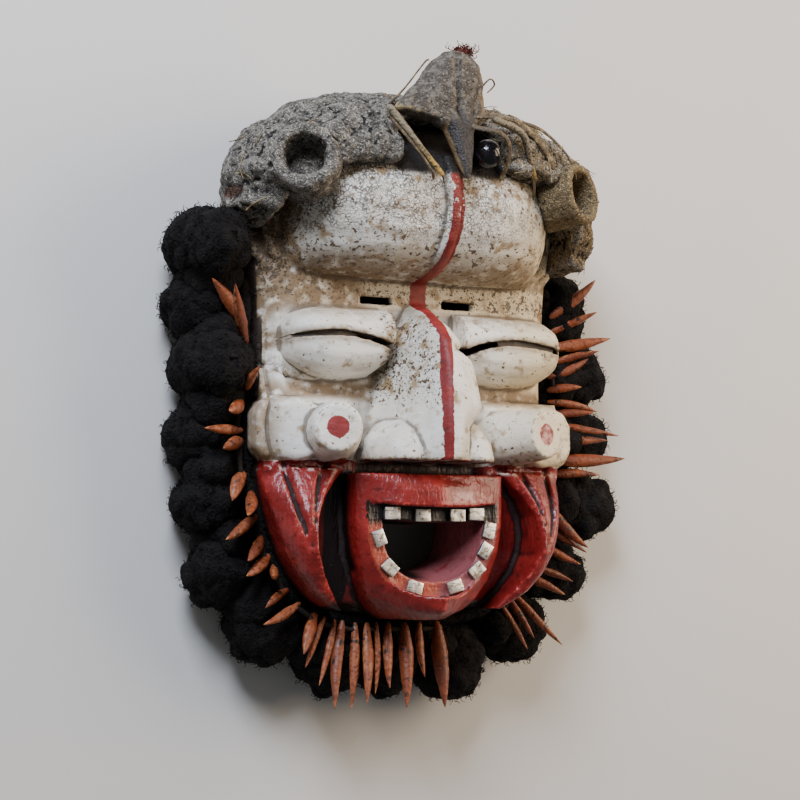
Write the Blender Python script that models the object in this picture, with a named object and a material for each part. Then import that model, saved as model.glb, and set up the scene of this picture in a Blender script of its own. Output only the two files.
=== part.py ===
"""A carved and painted wooden mask, lying on its back, with a crusted crown, claws and wool tufts.

+X is the viewer's right, +Y runs up the face to the crown, and +Z comes out of the face. Metres.
The face is free carving: its forms are written in carving units, one three-hundredth of its own height, so
a form at 87 units stands 87 mm out when the face is 300 mm high. What is fixed to it has sizes of its own.
"""

import math

import bmesh
import bpy
from mathutils import Matrix, Vector

MM = 0.001

# Driving sizes
FACE_HEIGHT = 300 * MM
UNIT = FACE_HEIGHT / 300
CLEARANCE = 0.4 * MM
WALL = 13 * MM
SLOT_WIDTH = 20 * MM
SLOT_HEIGHT = 4.8 * MM
SLIT_HEIGHT = 4.6 * MM
SLIT_DEPTH = 15 * MM
SLIT_STEP = 0.2 * MM
TOOTH_WIDTH = 8.6 * MM
TOOTH_HEIGHT = 6.6 * MM
TOOTH_THICKNESS = 2.2 * MM
TOOTH_INSET = 1.3 * MM
CUP_RADIUS = 18.5 * MM
CUP_BORE_RADIUS = 13.5 * MM
CUP_LENGTH = 36 * MM
CUP_BORE_DEPTH = 20 * MM
BAND_THICKNESS = 4 * MM
BAND_HEIGHT = 20 * MM
BAND_BACK = 23 * MM
BAND_SLOPE = 6 * MM
LEFT_CLAW_LENGTH = 27 * MM
CHIN_CLAW_LENGTH = 50 * MM
CLAW_LENGTH = 40 * MM
CLAW_RADIUS = 4.1 * MM
CLAW_STAND = 3.2 * MM
BLOCK_STAND = 6.4 * MM
CLAW_BOW = 1.2 * MM
CORD_RADIUS = 1.3 * MM
TUFT_REACH = 16 * MM
BULB_RADIUS = 8.5 * MM

# Outlines of the carving, as stations up the face and values there, in carving units
SHELL_HALF_WIDTH = ((-142, 34), (-137, 58), (-124, 74), (-112, 83), (-97, 89), (-81, 94), (-58, 98), (20, 99),
                    (60, 102), (95, 101), (120, 91), (138, 70), (150, 36))
SHELL_STATIONS = (-142, -139, -134, -126, -114, -98, -80, -58, 0, 60, 85, 105, 120, 131, 140, 146, 150)
SHELL_FRONT = ((-142, 44), (-130, 58), (-100, 63), (40, 61), (70, 66), (110, 72), (135, 60), (150, 38))
HOLLOW_FRONT = ((-142, 34), (-110, 42), (40, 42), (62, 60), (90, 80), (115, 76), (138, 34), (150, 20))
LOBE_HALF_WIDTH = ((49, 79), (60, 84), (82, 87), (98, 86), (118, 78), (134, 63), (146, 42), (149, 26))
LOBE_FRONT = ((49, 58), (51, 72), (54, 84), (58, 92), (64, 99), (72, 105), (87, 110), (103, 108), (120, 100),
              (135, 86), (146, 64), (149, 48))
LOBE_STATIONS = (49, 51, 54, 58, 64, 74, 88, 104, 120, 133, 143, 149)
KEEL_STATIONS = (49.2, 51.5, 55, 60, 68, 80, 94, 107, 118)
INNER_RIDGE = ((51, 73), (56, 83), (66, 89.5), (85, 92.5), (105, 91), (122, 82))
OUTER_RIDGE = ((51, 86), (56, 93), (68, 97.5), (85, 99.5), (104, 98), (116, 92))
NOSE_HALF_WIDTH = ((-54.5, 38), (-38, 38), (-20, 34), (0, 27), (20, 19), (37, 13))
NOSE_RIDGE = ((-54.5, 109), (-38, 110.5), (-21, 109.5), (-5, 107), (10, 102), (22, 92), (34, 73), (37, 64))
EYE_TOP = ((23, 34.5), (80, 34), (88, 31), (93, 25))
EYE_BOTTOM = ((23, -1), (34, -8), (58, -10.5), (78, -8), (88, -3), (93, 1))
EYE_FRONT = ((23, 81), (58, 81.5), (86, 78), (91, 74), (93, 68))
SLIT_LINE = ((20, 8.5), (38, 14), (56, 16.2), (75, 15), (91, 12.5))
MUZZLE_HALF_WIDTH = ((-143.5, 20), (-137, 30), (-130, 36), (-118, 42), (-104, 46), (-90, 47.5), (-62, 47.5))
MUZZLE_EDGE = ((-143.5, 62), (-137, 70), (-118, 77), (-92, 80.5), (-62, 80))
MUZZLE_RIDGE = ((-143.5, 86), (-139, 96), (-130, 97.5), (-100, 96.5), (-80, 95), (-66, 92), (-62, 88))
FLAP_INNER = ((-138, 49), (-130, 56), (-119, 65), (-102, 71.5), (-90, 71), (-78, 66.5), (-69, 60),
              (-59.2, 50.5))
FLAP_INNER_FRONT = ((-138, 66), (-119, 80), (-102, 86), (-90, 85), (-78, 81.5), (-59.2, 74))
FLAP_OUTER_FRONT = ((-138, 64), (-124, 74), (-97, 75), (-81, 72.5), (-59.2, 62))
CRUST_HALF_WIDTH = ((66, 118), (80, 121), (105, 121), (118, 116), (132, 105), (146, 84), (156, 58), (162, 30))
CRUST_LEFT_WIDTH = ((66, 92), (79, 95), (87, 118), (105, 121), (118, 116), (132, 105), (146, 84), (156, 58),
                    (162, 30))
CRUST_FRONT = ((66, 82), (85, 92), (100, 98), (110, 108), (118, 112), (130, 108), (142, 99), (152, 80),
               (158, 58), (162, 32))
CRUST_BACK = 8
SHELL_SQUARENESS = 5.0
HOLLOW_SQUARENESS = 4.0
LOBE_SQUARENESS = 2.6
FOOT_HEIGHT = 58
CROWN_FOOT = 0.86
CRUST_FOOT = 0.78
RIM_LEVEL = 0.0

# Places on the carving, in carving units
LOBE_SEAT = 40
LOBE_DIP = 3.0
DIP_WIDTH = 14
KEEL_HALF_WIDTH = 4.4
KEEL_RISE = 4.6
RIDGE_RADIUS = 3.8
NOSE_SEAT = 56
NOSE_BASE = -54.5
ALA_CENTRE = (20.5, -53, 72)
ALA_RADII = (17.5, 23.5, 27)
BRIDGE_X = 26.5
SLOT_Y = 38.2
SHELF = ((38, 96), (-62.5, -17), (30, 66))
CHEEK_BLOCK = ((84, 17.5, 50, 70), (95, 17, 50, 68.4), (98.5, 15.5, 51, 67.8), (102.4, 9.5, 53, 67))
BLOCK_CHAMFER = 2.5
DRUM_CENTRE = (81, -38, 73)
DRUM_RADIUS = 18
DRUM_LENGTH = 42
CONE_CENTRE = (66.9, -37.8, 96.9)
CONE_RADIUS = 13.2
CONE_BASE_RADIUS = 18.5
CONE_LENGTH = 42
CHEEK_SPLAY = math.radians(18)
MOUTH_TOP = -78
MOUTH_BOTTOM = -131
MOUTH_HALF_WIDTH = 41
MOUTH_SAG = 2.5
MOUTH_LEDGE = 82
MOUTH_LEDGE_WIDTH = 8.5
GROOVE_WIDTH = 4.2
GROOVE_DEPTH = 4.5
GROOVE_TIP = (76, -105)
CUP_MOUTHS = ((-90, 109, 102), (89, 104, 104))
CUP_SPLAY = math.radians(28)
CUP_LIFT = math.radians(7)
CROWN_OPENING = (99, 57, 56, -10, 140)
BEAK_NICHE = (36, 25, 117, 60, 140)
CRUST_SQUARENESS = ((66, 5), (80, 5), (140, 2.8), (162, 2.8))
LINE_TOP_LEFT = 78
BAND_TOP_LEFT = 46
BAND_TOP_RIGHT = 56
SLOPE_REACH = (26, 75)
BLOCK_REACH = 23
BIRD_RINGS = (
    ((0, 100, 123), 0.9, 0.9), ((0, 108, 120), 3.4, 3.2), ((0, 119, 116), 6.2, 5.2), ((0, 130, 112.5), 9, 7.5),
    ((-3, 135, 110), 15, 9), ((-9, 140, 107), 28, 9), ((-6, 147, 105), 25, 12), ((-1, 158, 104), 20, 13.5),
    ((2, 169, 104), 15, 11), ((3, 176, 104), 7, 6),
)
LEFT_QUILL = ((-43, 141, 108), (-29, 121, 115), (-13, 101, 119))
RIGHT_QUILL = ((16, 137, 121), (37, 131, 119), (47, 119, 112), (56, 107, 104))
QUILL_RADIUS = 2.3
BULB_PLACE = (20, 119)

# Teeth, as places round the mouth: fractions of its top edge from the left, and degrees round the bowl
TOP_TEETH = (0.17, 0.41, 0.68, 0.83)
BOWL_TEETH = (199, 224, 255, 286, 313, 332, 347)

# Claws on their cord: place along the wood's outline, lean from straight out, rise, and shares of length
# and thickness; the left side's from the top down, the chin's from its left, the right side's from below
LEFT_CLAWS = (
    (59, -49, 13, 1.32, 1.02), (68, -59, 41, 1.70, 0.98), (78, -55, 15, 0.45, 0.83), (93, -81, 62, 0.84, 0.78),
    (100, 26, 46, 0.87, 0.98), (116, -1, 24, 1.11, 0.73), (122, 11, 42, 0.99, 0.93), (139, 52, 26, 0.80, 0.98),
    (150, 38, 54, 1.20, 0.88), (163, 19, 21, 1.04, 0.78), (175, 25, 34, 0.87, 0.80), (186, 10, 27, 0.88, 0.85),
    (193, 1, 63, 0.83, 0.83), (208, -14, 22, 0.80, 0.68), (218, -29, 16, 1.09, 0.66),
)
CHIN_CLAWS = (
    (229, -4, 25, 0.57, 1.02), (235, -9, 11, 0.64, 0.59), (242, -7, 13, 0.79, 0.59), (247, -5, 14, 1.02, 0.85),
    (255, -1, 9, 0.97, 0.76), (263, -6, 18, 0.95, 0.93), (269, -2, 10, 0.82, 0.56), (277, -7, 15, 0.77, 0.80),
    (287, -7, 15, 1.00, 1.07), (297, -3, 11, 0.64, 0.68), (308, -3, 14, 1.00, 1.15),
)
RIGHT_CLAWS = (
    (355, -5, 9, 0.82, 0.49), (361, -13, 17, 0.76, 0.59), (365, -4, 10, 1.16, 0.59), (376, 7, 17, 0.75, 0.73),
    (382, 12, 9, 0.82, 0.63), (398, -7, 16, 0.80, 0.71), (408, -11, 8, 0.91, 0.68), (422, -38, 15, 0.97, 0.93),
    (438, 7, 12, 0.87, 0.71), (448, 6, 10, 1.29, 1.10), (458, 7, 7, 1.04, 0.78), (469, -5, 15, 1.18, 0.59),
    (475, 5, 15, 0.76, 0.63), (483, -4, 5, 0.88, 0.68), (490, 12, 19, 0.55, 0.73), (498, 25, 10, 0.74, 0.73),
    (506, 19, 15, 0.87, 0.63), (516, 14, 10, 1.05, 0.95), (525, 27, 17, 0.85, 0.71), (535, 42, 12, 0.96, 0.90),
)

# Wool tufts: place along the outline, reach as a share, half their length along, and lowest and highest level
TUFTS = (
    (12, 1.0, 17, 8, 76), (45, 1.0, 15, 4, 49), (80, 1.0, 17.5, 6, 68), (118, 1.0, 18, 4, 49),
    (154, 1.0, 16.5, 4, 49), (188, 1.05, 16.5, 4, 47), (223, 1.1, 17.5, 4, 44), (260, 1.15, 18, 4, 42),
    (295, 1.25, 15.5, 4, 40), (331, 1.3, 19, 4, 40), (369, 1.3, 17.5, 4, 39), (404, 1.5, 16.5, 4, 40),
    (441, 1.75, 19, 4, 38), (479, 1.7, 17.5, 4, 38), (515, 1.5, 17, 4, 38),
)

# Steps that set how fine the solids are
ARCH_STEPS = 12
SIDES = 16
CUP_SIDES = 14
COLUMN_SIDES = 24
BIRD_SIDES = 12
CLAW_SIDES = 4
TUFT_SEGMENTS = 7
TUFT_RINGS = 4
BULB_SEGMENTS = 8
BULB_RINGS = 6

MATERIALS = {
    "painted_wood": ((0.74, 0.72, 0.67), 0.55, 0.0),
    "tin_plate": ((0.72, 0.74, 0.76), 0.25, 1.0),
    "clay_crust": ((0.38, 0.36, 0.33), 0.95, 0.0),
    "horn": ((0.23, 0.21, 0.19), 0.6, 0.0),
    "quill": ((0.55, 0.40, 0.14), 0.5, 0.0),
    "dark_glass": ((0.02, 0.02, 0.025), 0.1, 0.0),
    "wool": ((0.012, 0.012, 0.013), 1.0, 0.0),
    "claw_wood": ((0.50, 0.17, 0.07), 0.45, 0.0),
}


def clear_scene():
    for old in list(bpy.data.objects):
        bpy.data.objects.remove(old, do_unlink=True)


def material(name):
    """The named plain finish, made once."""
    found = bpy.data.materials.get(name)
    if found:
        return found
    colour, roughness, metallic = MATERIALS[name]
    made = bpy.data.materials.new(name)
    made.use_nodes = True
    shader = made.node_tree.nodes["Principled BSDF"]
    shader.inputs["Base Color"].default_value = (*colour, 1)
    shader.inputs["Roughness"].default_value = roughness
    shader.inputs["Metallic"].default_value = metallic
    return made


def curve(stations, where):
    """The smooth value of an outline at one station: cubic between its stations, with no overshoot."""
    where = min(max(where, stations[0][0]), stations[-1][0])
    steps = [(b[1] - a[1]) / (b[0] - a[0]) for a, b in zip(stations, stations[1:])]

    def slope(i):
        if i == 0 or i == len(steps):
            return steps[min(i, len(steps) - 1)]
        before, after = steps[i - 1], steps[i]
        return 0.0 if before * after <= 0 else 2 * before * after / (before + after)

    for i, ((start, low), (end, high)) in enumerate(zip(stations, stations[1:])):
        if where <= end:
            break
    span = end - start
    t = (where - start) / span
    return (low * (1 + 2 * t) * (1 - t) ** 2 + high * t * t * (3 - 2 * t)
            + slope(i) * span * t * (1 - t) ** 2 - slope(i + 1) * span * t * t * (1 - t))


def point(x, y, z):
    """A place on the carving, from carving units to metres."""
    return Vector((x, y, z)) * UNIT


def spread(first, last, count):
    return [first + (last - first) * i / (count - 1) for i in range(count)]


def new_object(name, mesh, finish=None, smooth_angle=35):
    mesh.shade_smooth()
    mesh.set_sharp_from_angle(angle=math.radians(smooth_angle))
    made = bpy.data.objects.new(name, mesh)
    bpy.context.scene.collection.objects.link(made)
    if finish:
        mesh.materials.append(material(finish))
    else:
        made.hide_render = True
        made.display_type = "WIRE"
    return made


def mesh_from(bm, name):
    bmesh.ops.recalc_face_normals(bm, faces=bm.faces)
    if bm.calc_volume(signed=True) < 0:
        bmesh.ops.reverse_faces(bm, faces=bm.faces)
    mesh = bpy.data.meshes.new(name)
    bm.to_mesh(mesh)
    bm.free()
    return mesh


def loft(name, rings, finish=None):
    """A closed solid through rings of equally many points, with a flat face on the first and last ring.

    Its sides are triangles, so that a form and the room cut for it are split along the same lines.
    """
    bm = bmesh.new()
    rows = [[bm.verts.new(p) for p in ring] for ring in rings]
    bm.faces.new(rows[0])
    bm.faces.new(list(reversed(rows[-1])))
    for low, high in zip(rows, rows[1:]):
        for i in range(len(low)):
            j = (i + 1) % len(low)
            bm.faces.new((low[i], low[j], high[j]))
            bm.faces.new((low[i], high[j], high[i]))
    return new_object(name, mesh_from(bm, name), finish)


def tube(name, path, radii, sides, finish=None):
    """A round bar along a path, its radius given at each point."""
    rings = []
    side = None
    for i, centre in enumerate(path):
        along = (path[min(i + 1, len(path) - 1)] - path[max(i - 1, 0)]).normalized()
        start = side or (Vector((0, 0, 1)) if abs(along.z) < 0.9 else Vector((1, 0, 0)))
        side = (start - along * start.dot(along)).normalized()
        across = along.cross(side)
        rings.append([centre + (side * math.cos(a) + across * math.sin(a)) * radii[i]
                      for a in spread(0, 2 * math.pi * (1 - 1 / sides), sides)])
    return loft(name, rings, finish)


def box(name, low, high):
    bm = bmesh.new()
    bmesh.ops.create_cube(bm, size=1)
    for vert in bm.verts:
        vert.co = [(a + b) / 2 + (b - a) * c for a, b, c in zip(low, high, vert.co)]
    return new_object(name, mesh_from(bm, name))


def round_ball(name, centre, radii, segments, rings, finish=None):
    bm = bmesh.new()
    bmesh.ops.create_uvsphere(bm, u_segments=segments, v_segments=rings, radius=1)
    for vert in bm.verts:
        vert.co = [c + r * v for c, r, v in zip(centre, radii, vert.co)]
    return new_object(name, mesh_from(bm, name), finish)


def boolean(target, operation, tools):
    for tool in tools:
        step = target.modifiers.new(f"{operation.lower()} {tool.name}", "BOOLEAN")
        step.operation = operation
        step.object = tool
        step.solver = "EXACT"
    return target


def arch(half_width, low, high, squareness, y, dip=0.0, left=None, foot=1.0):
    """An arched section across the face: a flat foot at low, and a squarish curve over to high.

    foot is the share of the width that is left at the rim's level, where the sides slope in to the back.
    """
    ring = []
    for angle in spread(0, math.pi, ARCH_STEPS + 1):
        c, s = math.cos(angle), math.sin(angle)
        reach = left if left is not None and c < 0 else half_width
        x = reach * math.copysign(abs(c) ** (2 / squareness), c)
        z = low + (high - low) * abs(s) ** (2 / squareness) - dip * math.exp(-((x / (DIP_WIDTH * UNIT)) ** 2))
        x *= foot + (1 - foot) * min(1, max(z, 0) / (FOOT_HEIGHT * UNIT))
        ring.append(Vector((x, y, max(z, low))))
    return ring


def swollen(ring, grow):
    """A ring across the face with each of its edges moved outward by grow."""
    if not grow:
        return ring
    made = []
    for i, here in enumerate(ring):
        before, after = ring[i - 1], ring[(i + 1) % len(ring)]
        normals = [Vector((d.z, 0, -d.x)).normalized() for d in (here - before, after - here)]
        middle = (normals[0] + normals[1]).normalized()
        made.append(here + middle * (grow / max(middle.dot(normals[0]), 0.5)))
    return made


def crown_foot(y):
    """How much the sides of the crown draw in toward the back, at one station."""
    return 1 - (1 - CROWN_FOOT) * min(1, max(0, (y - 62) / 45))


def grown_ends(stations, grow):
    """The stations in metres, the first and last moved outward by grow."""
    places = [s * UNIT for s in stations]
    places[0] -= grow
    places[-1] += grow
    return places


def shell(name, grow=0.0, finish=None):
    rings = []
    for s, y in zip(SHELL_STATIONS, grown_ends(SHELL_STATIONS, grow)):
        ring = arch(curve(SHELL_HALF_WIDTH, s) * UNIT, RIM_LEVEL, curve(SHELL_FRONT, s) * UNIT,
                    SHELL_SQUARENESS, y, foot=crown_foot(s))
        rings.append(swollen(ring, grow))
    return loft(name, rings, finish)


def shell_level(x, y):
    """How far out the plain shell stands at one place, in carving units."""
    share = min(abs(x) / curve(SHELL_HALF_WIDTH, y), 0.999)
    return curve(SHELL_FRONT, y) * (1 - share ** SHELL_SQUARENESS) ** (1 / SHELL_SQUARENESS)


def hollow():
    """The wearer's side: the shell's own shape, one wall smaller, and deeper behind the forehead."""
    ends = (-142 + WALL / UNIT, 150 - WALL / UNIT)
    rings = []
    for y in spread(*ends, 9):
        half_width = curve(SHELL_HALF_WIDTH, y) * UNIT - WALL
        rings.append(arch(half_width, -WALL, curve(HOLLOW_FRONT, y) * UNIT, HOLLOW_SQUARENESS, y * UNIT,
                          foot=crown_foot(y)))
    return loft("hollow", rings)


def lobe_level(x, y):
    """How far out the forehead stands at one place, in carving units."""
    share = min(abs(x) / curve(LOBE_HALF_WIDTH, y), 0.999)
    rise = (curve(LOBE_FRONT, y) - LOBE_SEAT) * (1 - share ** LOBE_SQUARENESS) ** (1 / LOBE_SQUARENESS)
    return LOBE_SEAT + rise - LOBE_DIP * math.exp(-((x / DIP_WIDTH) ** 2))


def forehead(grow=0.0):
    rings = []
    for s, y in zip(LOBE_STATIONS, grown_ends(LOBE_STATIONS, grow)):
        ring = arch(curve(LOBE_HALF_WIDTH, s) * UNIT, LOBE_SEAT * UNIT, curve(LOBE_FRONT, s) * UNIT,
                    LOBE_SQUARENESS, y, LOBE_DIP * UNIT)
        rings.append(swollen(ring, grow))
    return loft("forehead", rings)


def keel(grow=0.0):
    rings = []
    for s, y in zip(KEEL_STATIONS, grown_ends(KEEL_STATIONS, grow)):
        seat = lobe_level(0, s)
        top = seat + KEEL_RISE
        half = [(KEEL_HALF_WIDTH * 1.15, seat - 9), (KEEL_HALF_WIDTH * 0.85, top - 1.2)]
        half.append((KEEL_HALF_WIDTH * 0.45, top))
        outline = [*half, *((-x, z) for x, z in reversed(half))]
        rings.append(swollen([Vector((x * UNIT, y, z * UNIT)) for x, z in outline], grow))
    return loft("keel", rings)


def temple_ridges(grow=0.0):
    """Two raised lines each side that follow the forehead's edge."""
    made = []
    for side in (-1, 1):
        for outline, label in ((INNER_RIDGE, "inner ridge"), (OUTER_RIDGE, "outer ridge")):
            path = [point(side * curve(outline, y), y, shell_level(curve(outline, y), y) - 0.8)
                    for y in spread(outline[0][0], outline[-1][0], 7)]
            path[0] += (path[0] - path[1]).normalized() * grow
            path[-1] += (path[-1] - path[-2]).normalized() * grow
            radius = RIDGE_RADIUS * UNIT + grow * 1.2
            radii = [radius * (0.55 if i in (0, len(path) - 1) else 1) for i in range(len(path))]
            made.append(tube(f"{label} {side}", path, radii, 6))
    return made


def eyes():
    made = []
    for side in (-1, 1):
        rings = []
        for x in (23, 33, 50, 70, 83, 89.5, 93):
            top, bottom, front = (curve(table, x) for table in (EYE_TOP, EYE_BOTTOM, EYE_FRONT))
            middle, half = (top + bottom) / 2, (top - bottom) / 2
            ring = []
            for angle in spread(0, math.pi, 11):
                c, s = math.cos(angle), math.sin(angle)
                y = middle + half * math.copysign(abs(c) ** 0.8, c)
                ring.append(point(side * x, y, 44 + (front - 44) * s ** 0.72))
            rings.append(ring)
        made.append(loft(f"eye {side}", rings))
    return made


def eye_slits():
    """A long shallow groove along each eye, cut right through at its inner end."""
    made = []
    for side in (-1, 1):
        for label, reach, depth in (("slit", (22, 90.5), SLIT_DEPTH), ("slit through", (24, 46), 60 * UNIT)):
            rings = []
            for x in spread(*reach, 9 if label == "slit" else 4):
                y = curve(SLIT_LINE, x) * UNIT
                top = 90 * UNIT
                floor = curve(EYE_FRONT, x) * UNIT - depth
                half = SLIT_HEIGHT / 2 - (SLIT_STEP if label == "slit through" else 0)
                rings.append([Vector((side * x * UNIT, y + dy, z)) for dy, z in
                              ((-half, floor), (half, floor), (half, top), (-half, top))])
            made.append(loft(f"{label} {side}", rings))
    return made


def sight_slots():
    made = []
    for side in (-1, 1):
        low = (side * BRIDGE_X * UNIT - SLOT_WIDTH / 2, SLOT_Y * UNIT - SLOT_HEIGHT / 2, 20 * UNIT)
        high = (side * BRIDGE_X * UNIT + SLOT_WIDTH / 2, SLOT_Y * UNIT + SLOT_HEIGHT / 2, 90 * UNIT)
        made.append(box(f"sight slot {side}", low, high))
    return made


def nose():
    """A long three-sided ridge whose flanks sweep out into the cheeks."""
    shares = (1, 0.74, 0.5, 0.28, 0.1, 0, -0.1, -0.28, -0.5, -0.74, -1)
    rings = []
    for y in (NOSE_BASE, -42, -28, -12, 2, 13, 22, 29, 34, 37):
        wide, ridge = curve(NOSE_HALF_WIDTH, y), curve(NOSE_RIDGE, y)
        rings.append([point(share * wide, y, NOSE_SEAT + (ridge - NOSE_SEAT)
                            * (0.5 + 0.5 * math.cos(math.pi * abs(share))) ** 0.85) for share in shares])
    return loft("nose", rings)


def nose_wings():
    made = []
    for side in (-1, 1):
        bm = bmesh.new()
        bmesh.ops.create_uvsphere(bm, u_segments=12, v_segments=8, radius=1)
        for vert in bm.verts:
            x, y, z = (c + r * v for c, r, v in zip(ALA_CENTRE, ALA_RADII, vert.co))
            vert.co = point(side * x, y, z)
        everything = bm.verts[:] + bm.edges[:] + bm.faces[:]
        edge = bmesh.ops.bisect_plane(bm, geom=everything, plane_co=point(0, NOSE_BASE + 0.4, 0),
                                      plane_no=(0, -1, 0), clear_outer=True)
        rim = [item for item in edge["geom_cut"] if isinstance(item, bmesh.types.BMEdge)]
        bmesh.ops.contextual_create(bm, geom=rim)
        made.append(new_object(f"nose wing {side}", mesh_from(bm, "nose wing")))
    return made


def splayed(side, centre, lift=0.0, splay=CHEEK_SPLAY):
    """The frame of a boss whose axis leans outward: its own +Z points along the axis."""
    turn = Matrix.Rotation(side * splay, 4, "Y") @ Matrix.Rotation(-lift, 4, "X")
    return Matrix.Translation(point(side * centre[0], centre[1], centre[2])) @ turn


def turned(name, frame, profile, sides=SIDES, finish=None):
    """A turned solid: profile points are radius and height along the frame's +Z."""
    rings = []
    for radius, height in profile:
        rings.append([frame @ Vector((radius * math.cos(a), radius * math.sin(a), height))
                      for a in spread(0, 2 * math.pi * (1 - 1 / sides), sides)])
    return loft(name, rings, finish)


def cheek_bosses():
    """On each cheek a low shelf, a chamfered block, a wide drum and the long cone with its flat disc."""
    made = []
    for side in (-1, 1):
        (x0, x1), (y0, y1), (z0, z1) = SHELF
        rings = []
        for x, inset in ((x0, 4), (x0 + 6, 0), (x1 - 5, 0), (x1, 3)):
            outline = ((y0, z0), (y0, z1 - inset), (y1 - 4, z1 - inset), (y1, z1 - 4 - inset), (y1, z0))
            rings.append([point(side * x, y, z) for y, z in outline])
        made.append(loft(f"cheek shelf {side}", rings))
        rings = []
        for x, half, back, front in CHEEK_BLOCK:
            shoulder = front - BLOCK_CHAMFER
            outline = ((-half, back), (half, back), (half, shoulder), (half - BLOCK_CHAMFER, front),
                       (BLOCK_CHAMFER - half, front), (-half, shoulder))
            rings.append([point(side * x, DRUM_CENTRE[1] + dy, z) for dy, z in outline])
        made.append(loft(f"cheek block {side}", rings))
        drum = splayed(side, DRUM_CENTRE)
        r, length = DRUM_RADIUS * UNIT, DRUM_LENGTH * UNIT
        profile = ((r * 0.9, -length), (r, -length * 0.8), (r, -2.5 * UNIT), (r - 1.8 * UNIT, 0))
        made.append(turned(f"cheek drum {side}", drum, profile))
        cone = splayed(side, CONE_CENTRE, math.radians(3))
        r, foot, length = CONE_RADIUS * UNIT, CONE_BASE_RADIUS * UNIT, CONE_LENGTH * UNIT
        profile = ((foot, -length), (r + 1.2 * UNIT, -3 * UNIT), (r, 0))
        made.append(turned(f"cheek cone {side}", cone, profile))
    return made


def muzzle():
    """The block round the mouth: two faces that meet in a blunt edge down the middle."""
    rings = []
    for y in (-143.5, -141, -138.5, -132, -122, -106, -90, -78, -69, -62):
        wide, edge, ridge = (curve(table, y) for table in (MUZZLE_HALF_WIDTH, MUZZLE_EDGE, MUZZLE_RIDGE))
        half = [(wide + 1, 44), (wide + 0.5, edge - 5), (wide - 0.8, edge - 1.2), (wide - 3, edge + 0.8),
                (wide * 0.5, (edge + ridge) / 2 + 2.2)]
        ring = [point(x, y, z) for x, z in half] + [point(0, y, ridge)]
        ring += [point(-x, y, z) for x, z in reversed(half)]
        rings.append(ring)
    return loft("muzzle", rings)


def cheek_flaps():
    """The leaf-shaped pads each side of the muzzle, down to the chin."""
    made = []
    for side in (-1, 1):
        rings = []
        for y in (-138, -134, -128, -118, -106, -95, -84, -75, -67, -59.2):
            inner, outer = curve(FLAP_INNER, y), curve(SHELL_HALF_WIDTH, y) - 0.6
            high, low = curve(FLAP_INNER_FRONT, y), curve(FLAP_OUTER_FRONT, y)
            span = outer - inner
            outline = [(inner - 1, 32), (inner, high - 3.5), (inner + 0.12 * span, high),
                       (inner + 0.42 * span, high * 0.62 + low * 0.38 + 2), (inner + 0.72 * span,
                        high * 0.3 + low * 0.7 + 2.2), (outer - 0.12 * span, low + 0.5), (outer, low - 5),
                       (outer - 1.2, 32)]
            rings.append([point(side * x, y, z) for x, z in outline])
        made.append(loft(f"cheek flap {side}", rings))
    return made


def cheek_grooves():
    """Two carved lines on each flap that close to a point, like a leaf's veins."""
    made = []
    for side in (-1, 1):
        for label, start, bow in (("outer", (85, -56), 2.5), ("inner", (63, -56), 3.0)):
            rings = []
            for t in spread(0, 1, 6):
                x = start[0] + (GROOVE_TIP[0] - start[0]) * t + bow * math.sin(math.pi * t)
                y = start[1] + (GROOVE_TIP[1] - start[1]) * t
                share = (y - start[1]) / (GROOVE_TIP[1] - start[1])
                inner, outer = curve(FLAP_INNER, y), curve(SHELL_HALF_WIDTH, y) - 0.6
                across = (x - inner) / (outer - inner)
                level = curve(FLAP_INNER_FRONT, y) * (1 - across) + curve(FLAP_OUTER_FRONT, y) * across + 1.6
                wide = GROOVE_WIDTH * (1 - 0.75 * share) * 2.2
                deep = GROOVE_DEPTH * (1 - 0.6 * share)
                above = level + deep * 1.8
                outline = ((x, level - deep), (x + wide, above), (x - wide, above))
                rings.append([point(side * px, y, pz) for px, pz in outline])
            made.append(loft(f"{label} cheek groove {side}", rings))
    return made


def mouth_outline(inset):
    """The mouth's shape seen from the front, in metres: a nearly straight top edge over a deep bowl."""
    half = MOUTH_HALF_WIDTH * UNIT - inset
    top, bottom = MOUTH_TOP * UNIT - inset, MOUTH_BOTTOM * UNIT + inset
    outline = [(x, top - MOUTH_SAG * UNIT * (1 - (x / half) ** 2)) for x in spread(half, -half, 7)]
    for angle in spread(180, 360, 15)[1:-1]:
        c, s = math.cos(math.radians(angle)), math.sin(math.radians(angle))
        outline.append((half * math.copysign(abs(c) ** 0.8, c), top - (top - bottom) * abs(s) ** 0.8))
    return outline


def mouth_cuts():
    """The bowl in front of the gum ledge, and the way through behind it."""
    ledge = MOUTH_LEDGE * UNIT
    front = [[Vector((x, y, z)) for x, y in mouth_outline(0)] for z in (ledge, 110 * UNIT)]
    inset = MOUTH_LEDGE_WIDTH * UNIT
    through = [[Vector((x, y, z)) for x, y in mouth_outline(inset)] for z in (20 * UNIT, ledge + 5 * UNIT)]
    return [loft("mouth bowl", front), loft("mouth through", through)]


def make_face():
    face = shell("wooden_face", finish="painted_wood")
    added = [forehead(), keel(), *temple_ridges(), *eyes(), nose(), *nose_wings(), *cheek_bosses(), muzzle(),
             *cheek_flaps()]
    boolean(face, "UNION", added)
    cuts = [hollow(), *eye_slits(), *sight_slots(), *mouth_cuts(), *cheek_grooves()]
    return boolean(face, "DIFFERENCE", cuts)


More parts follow.
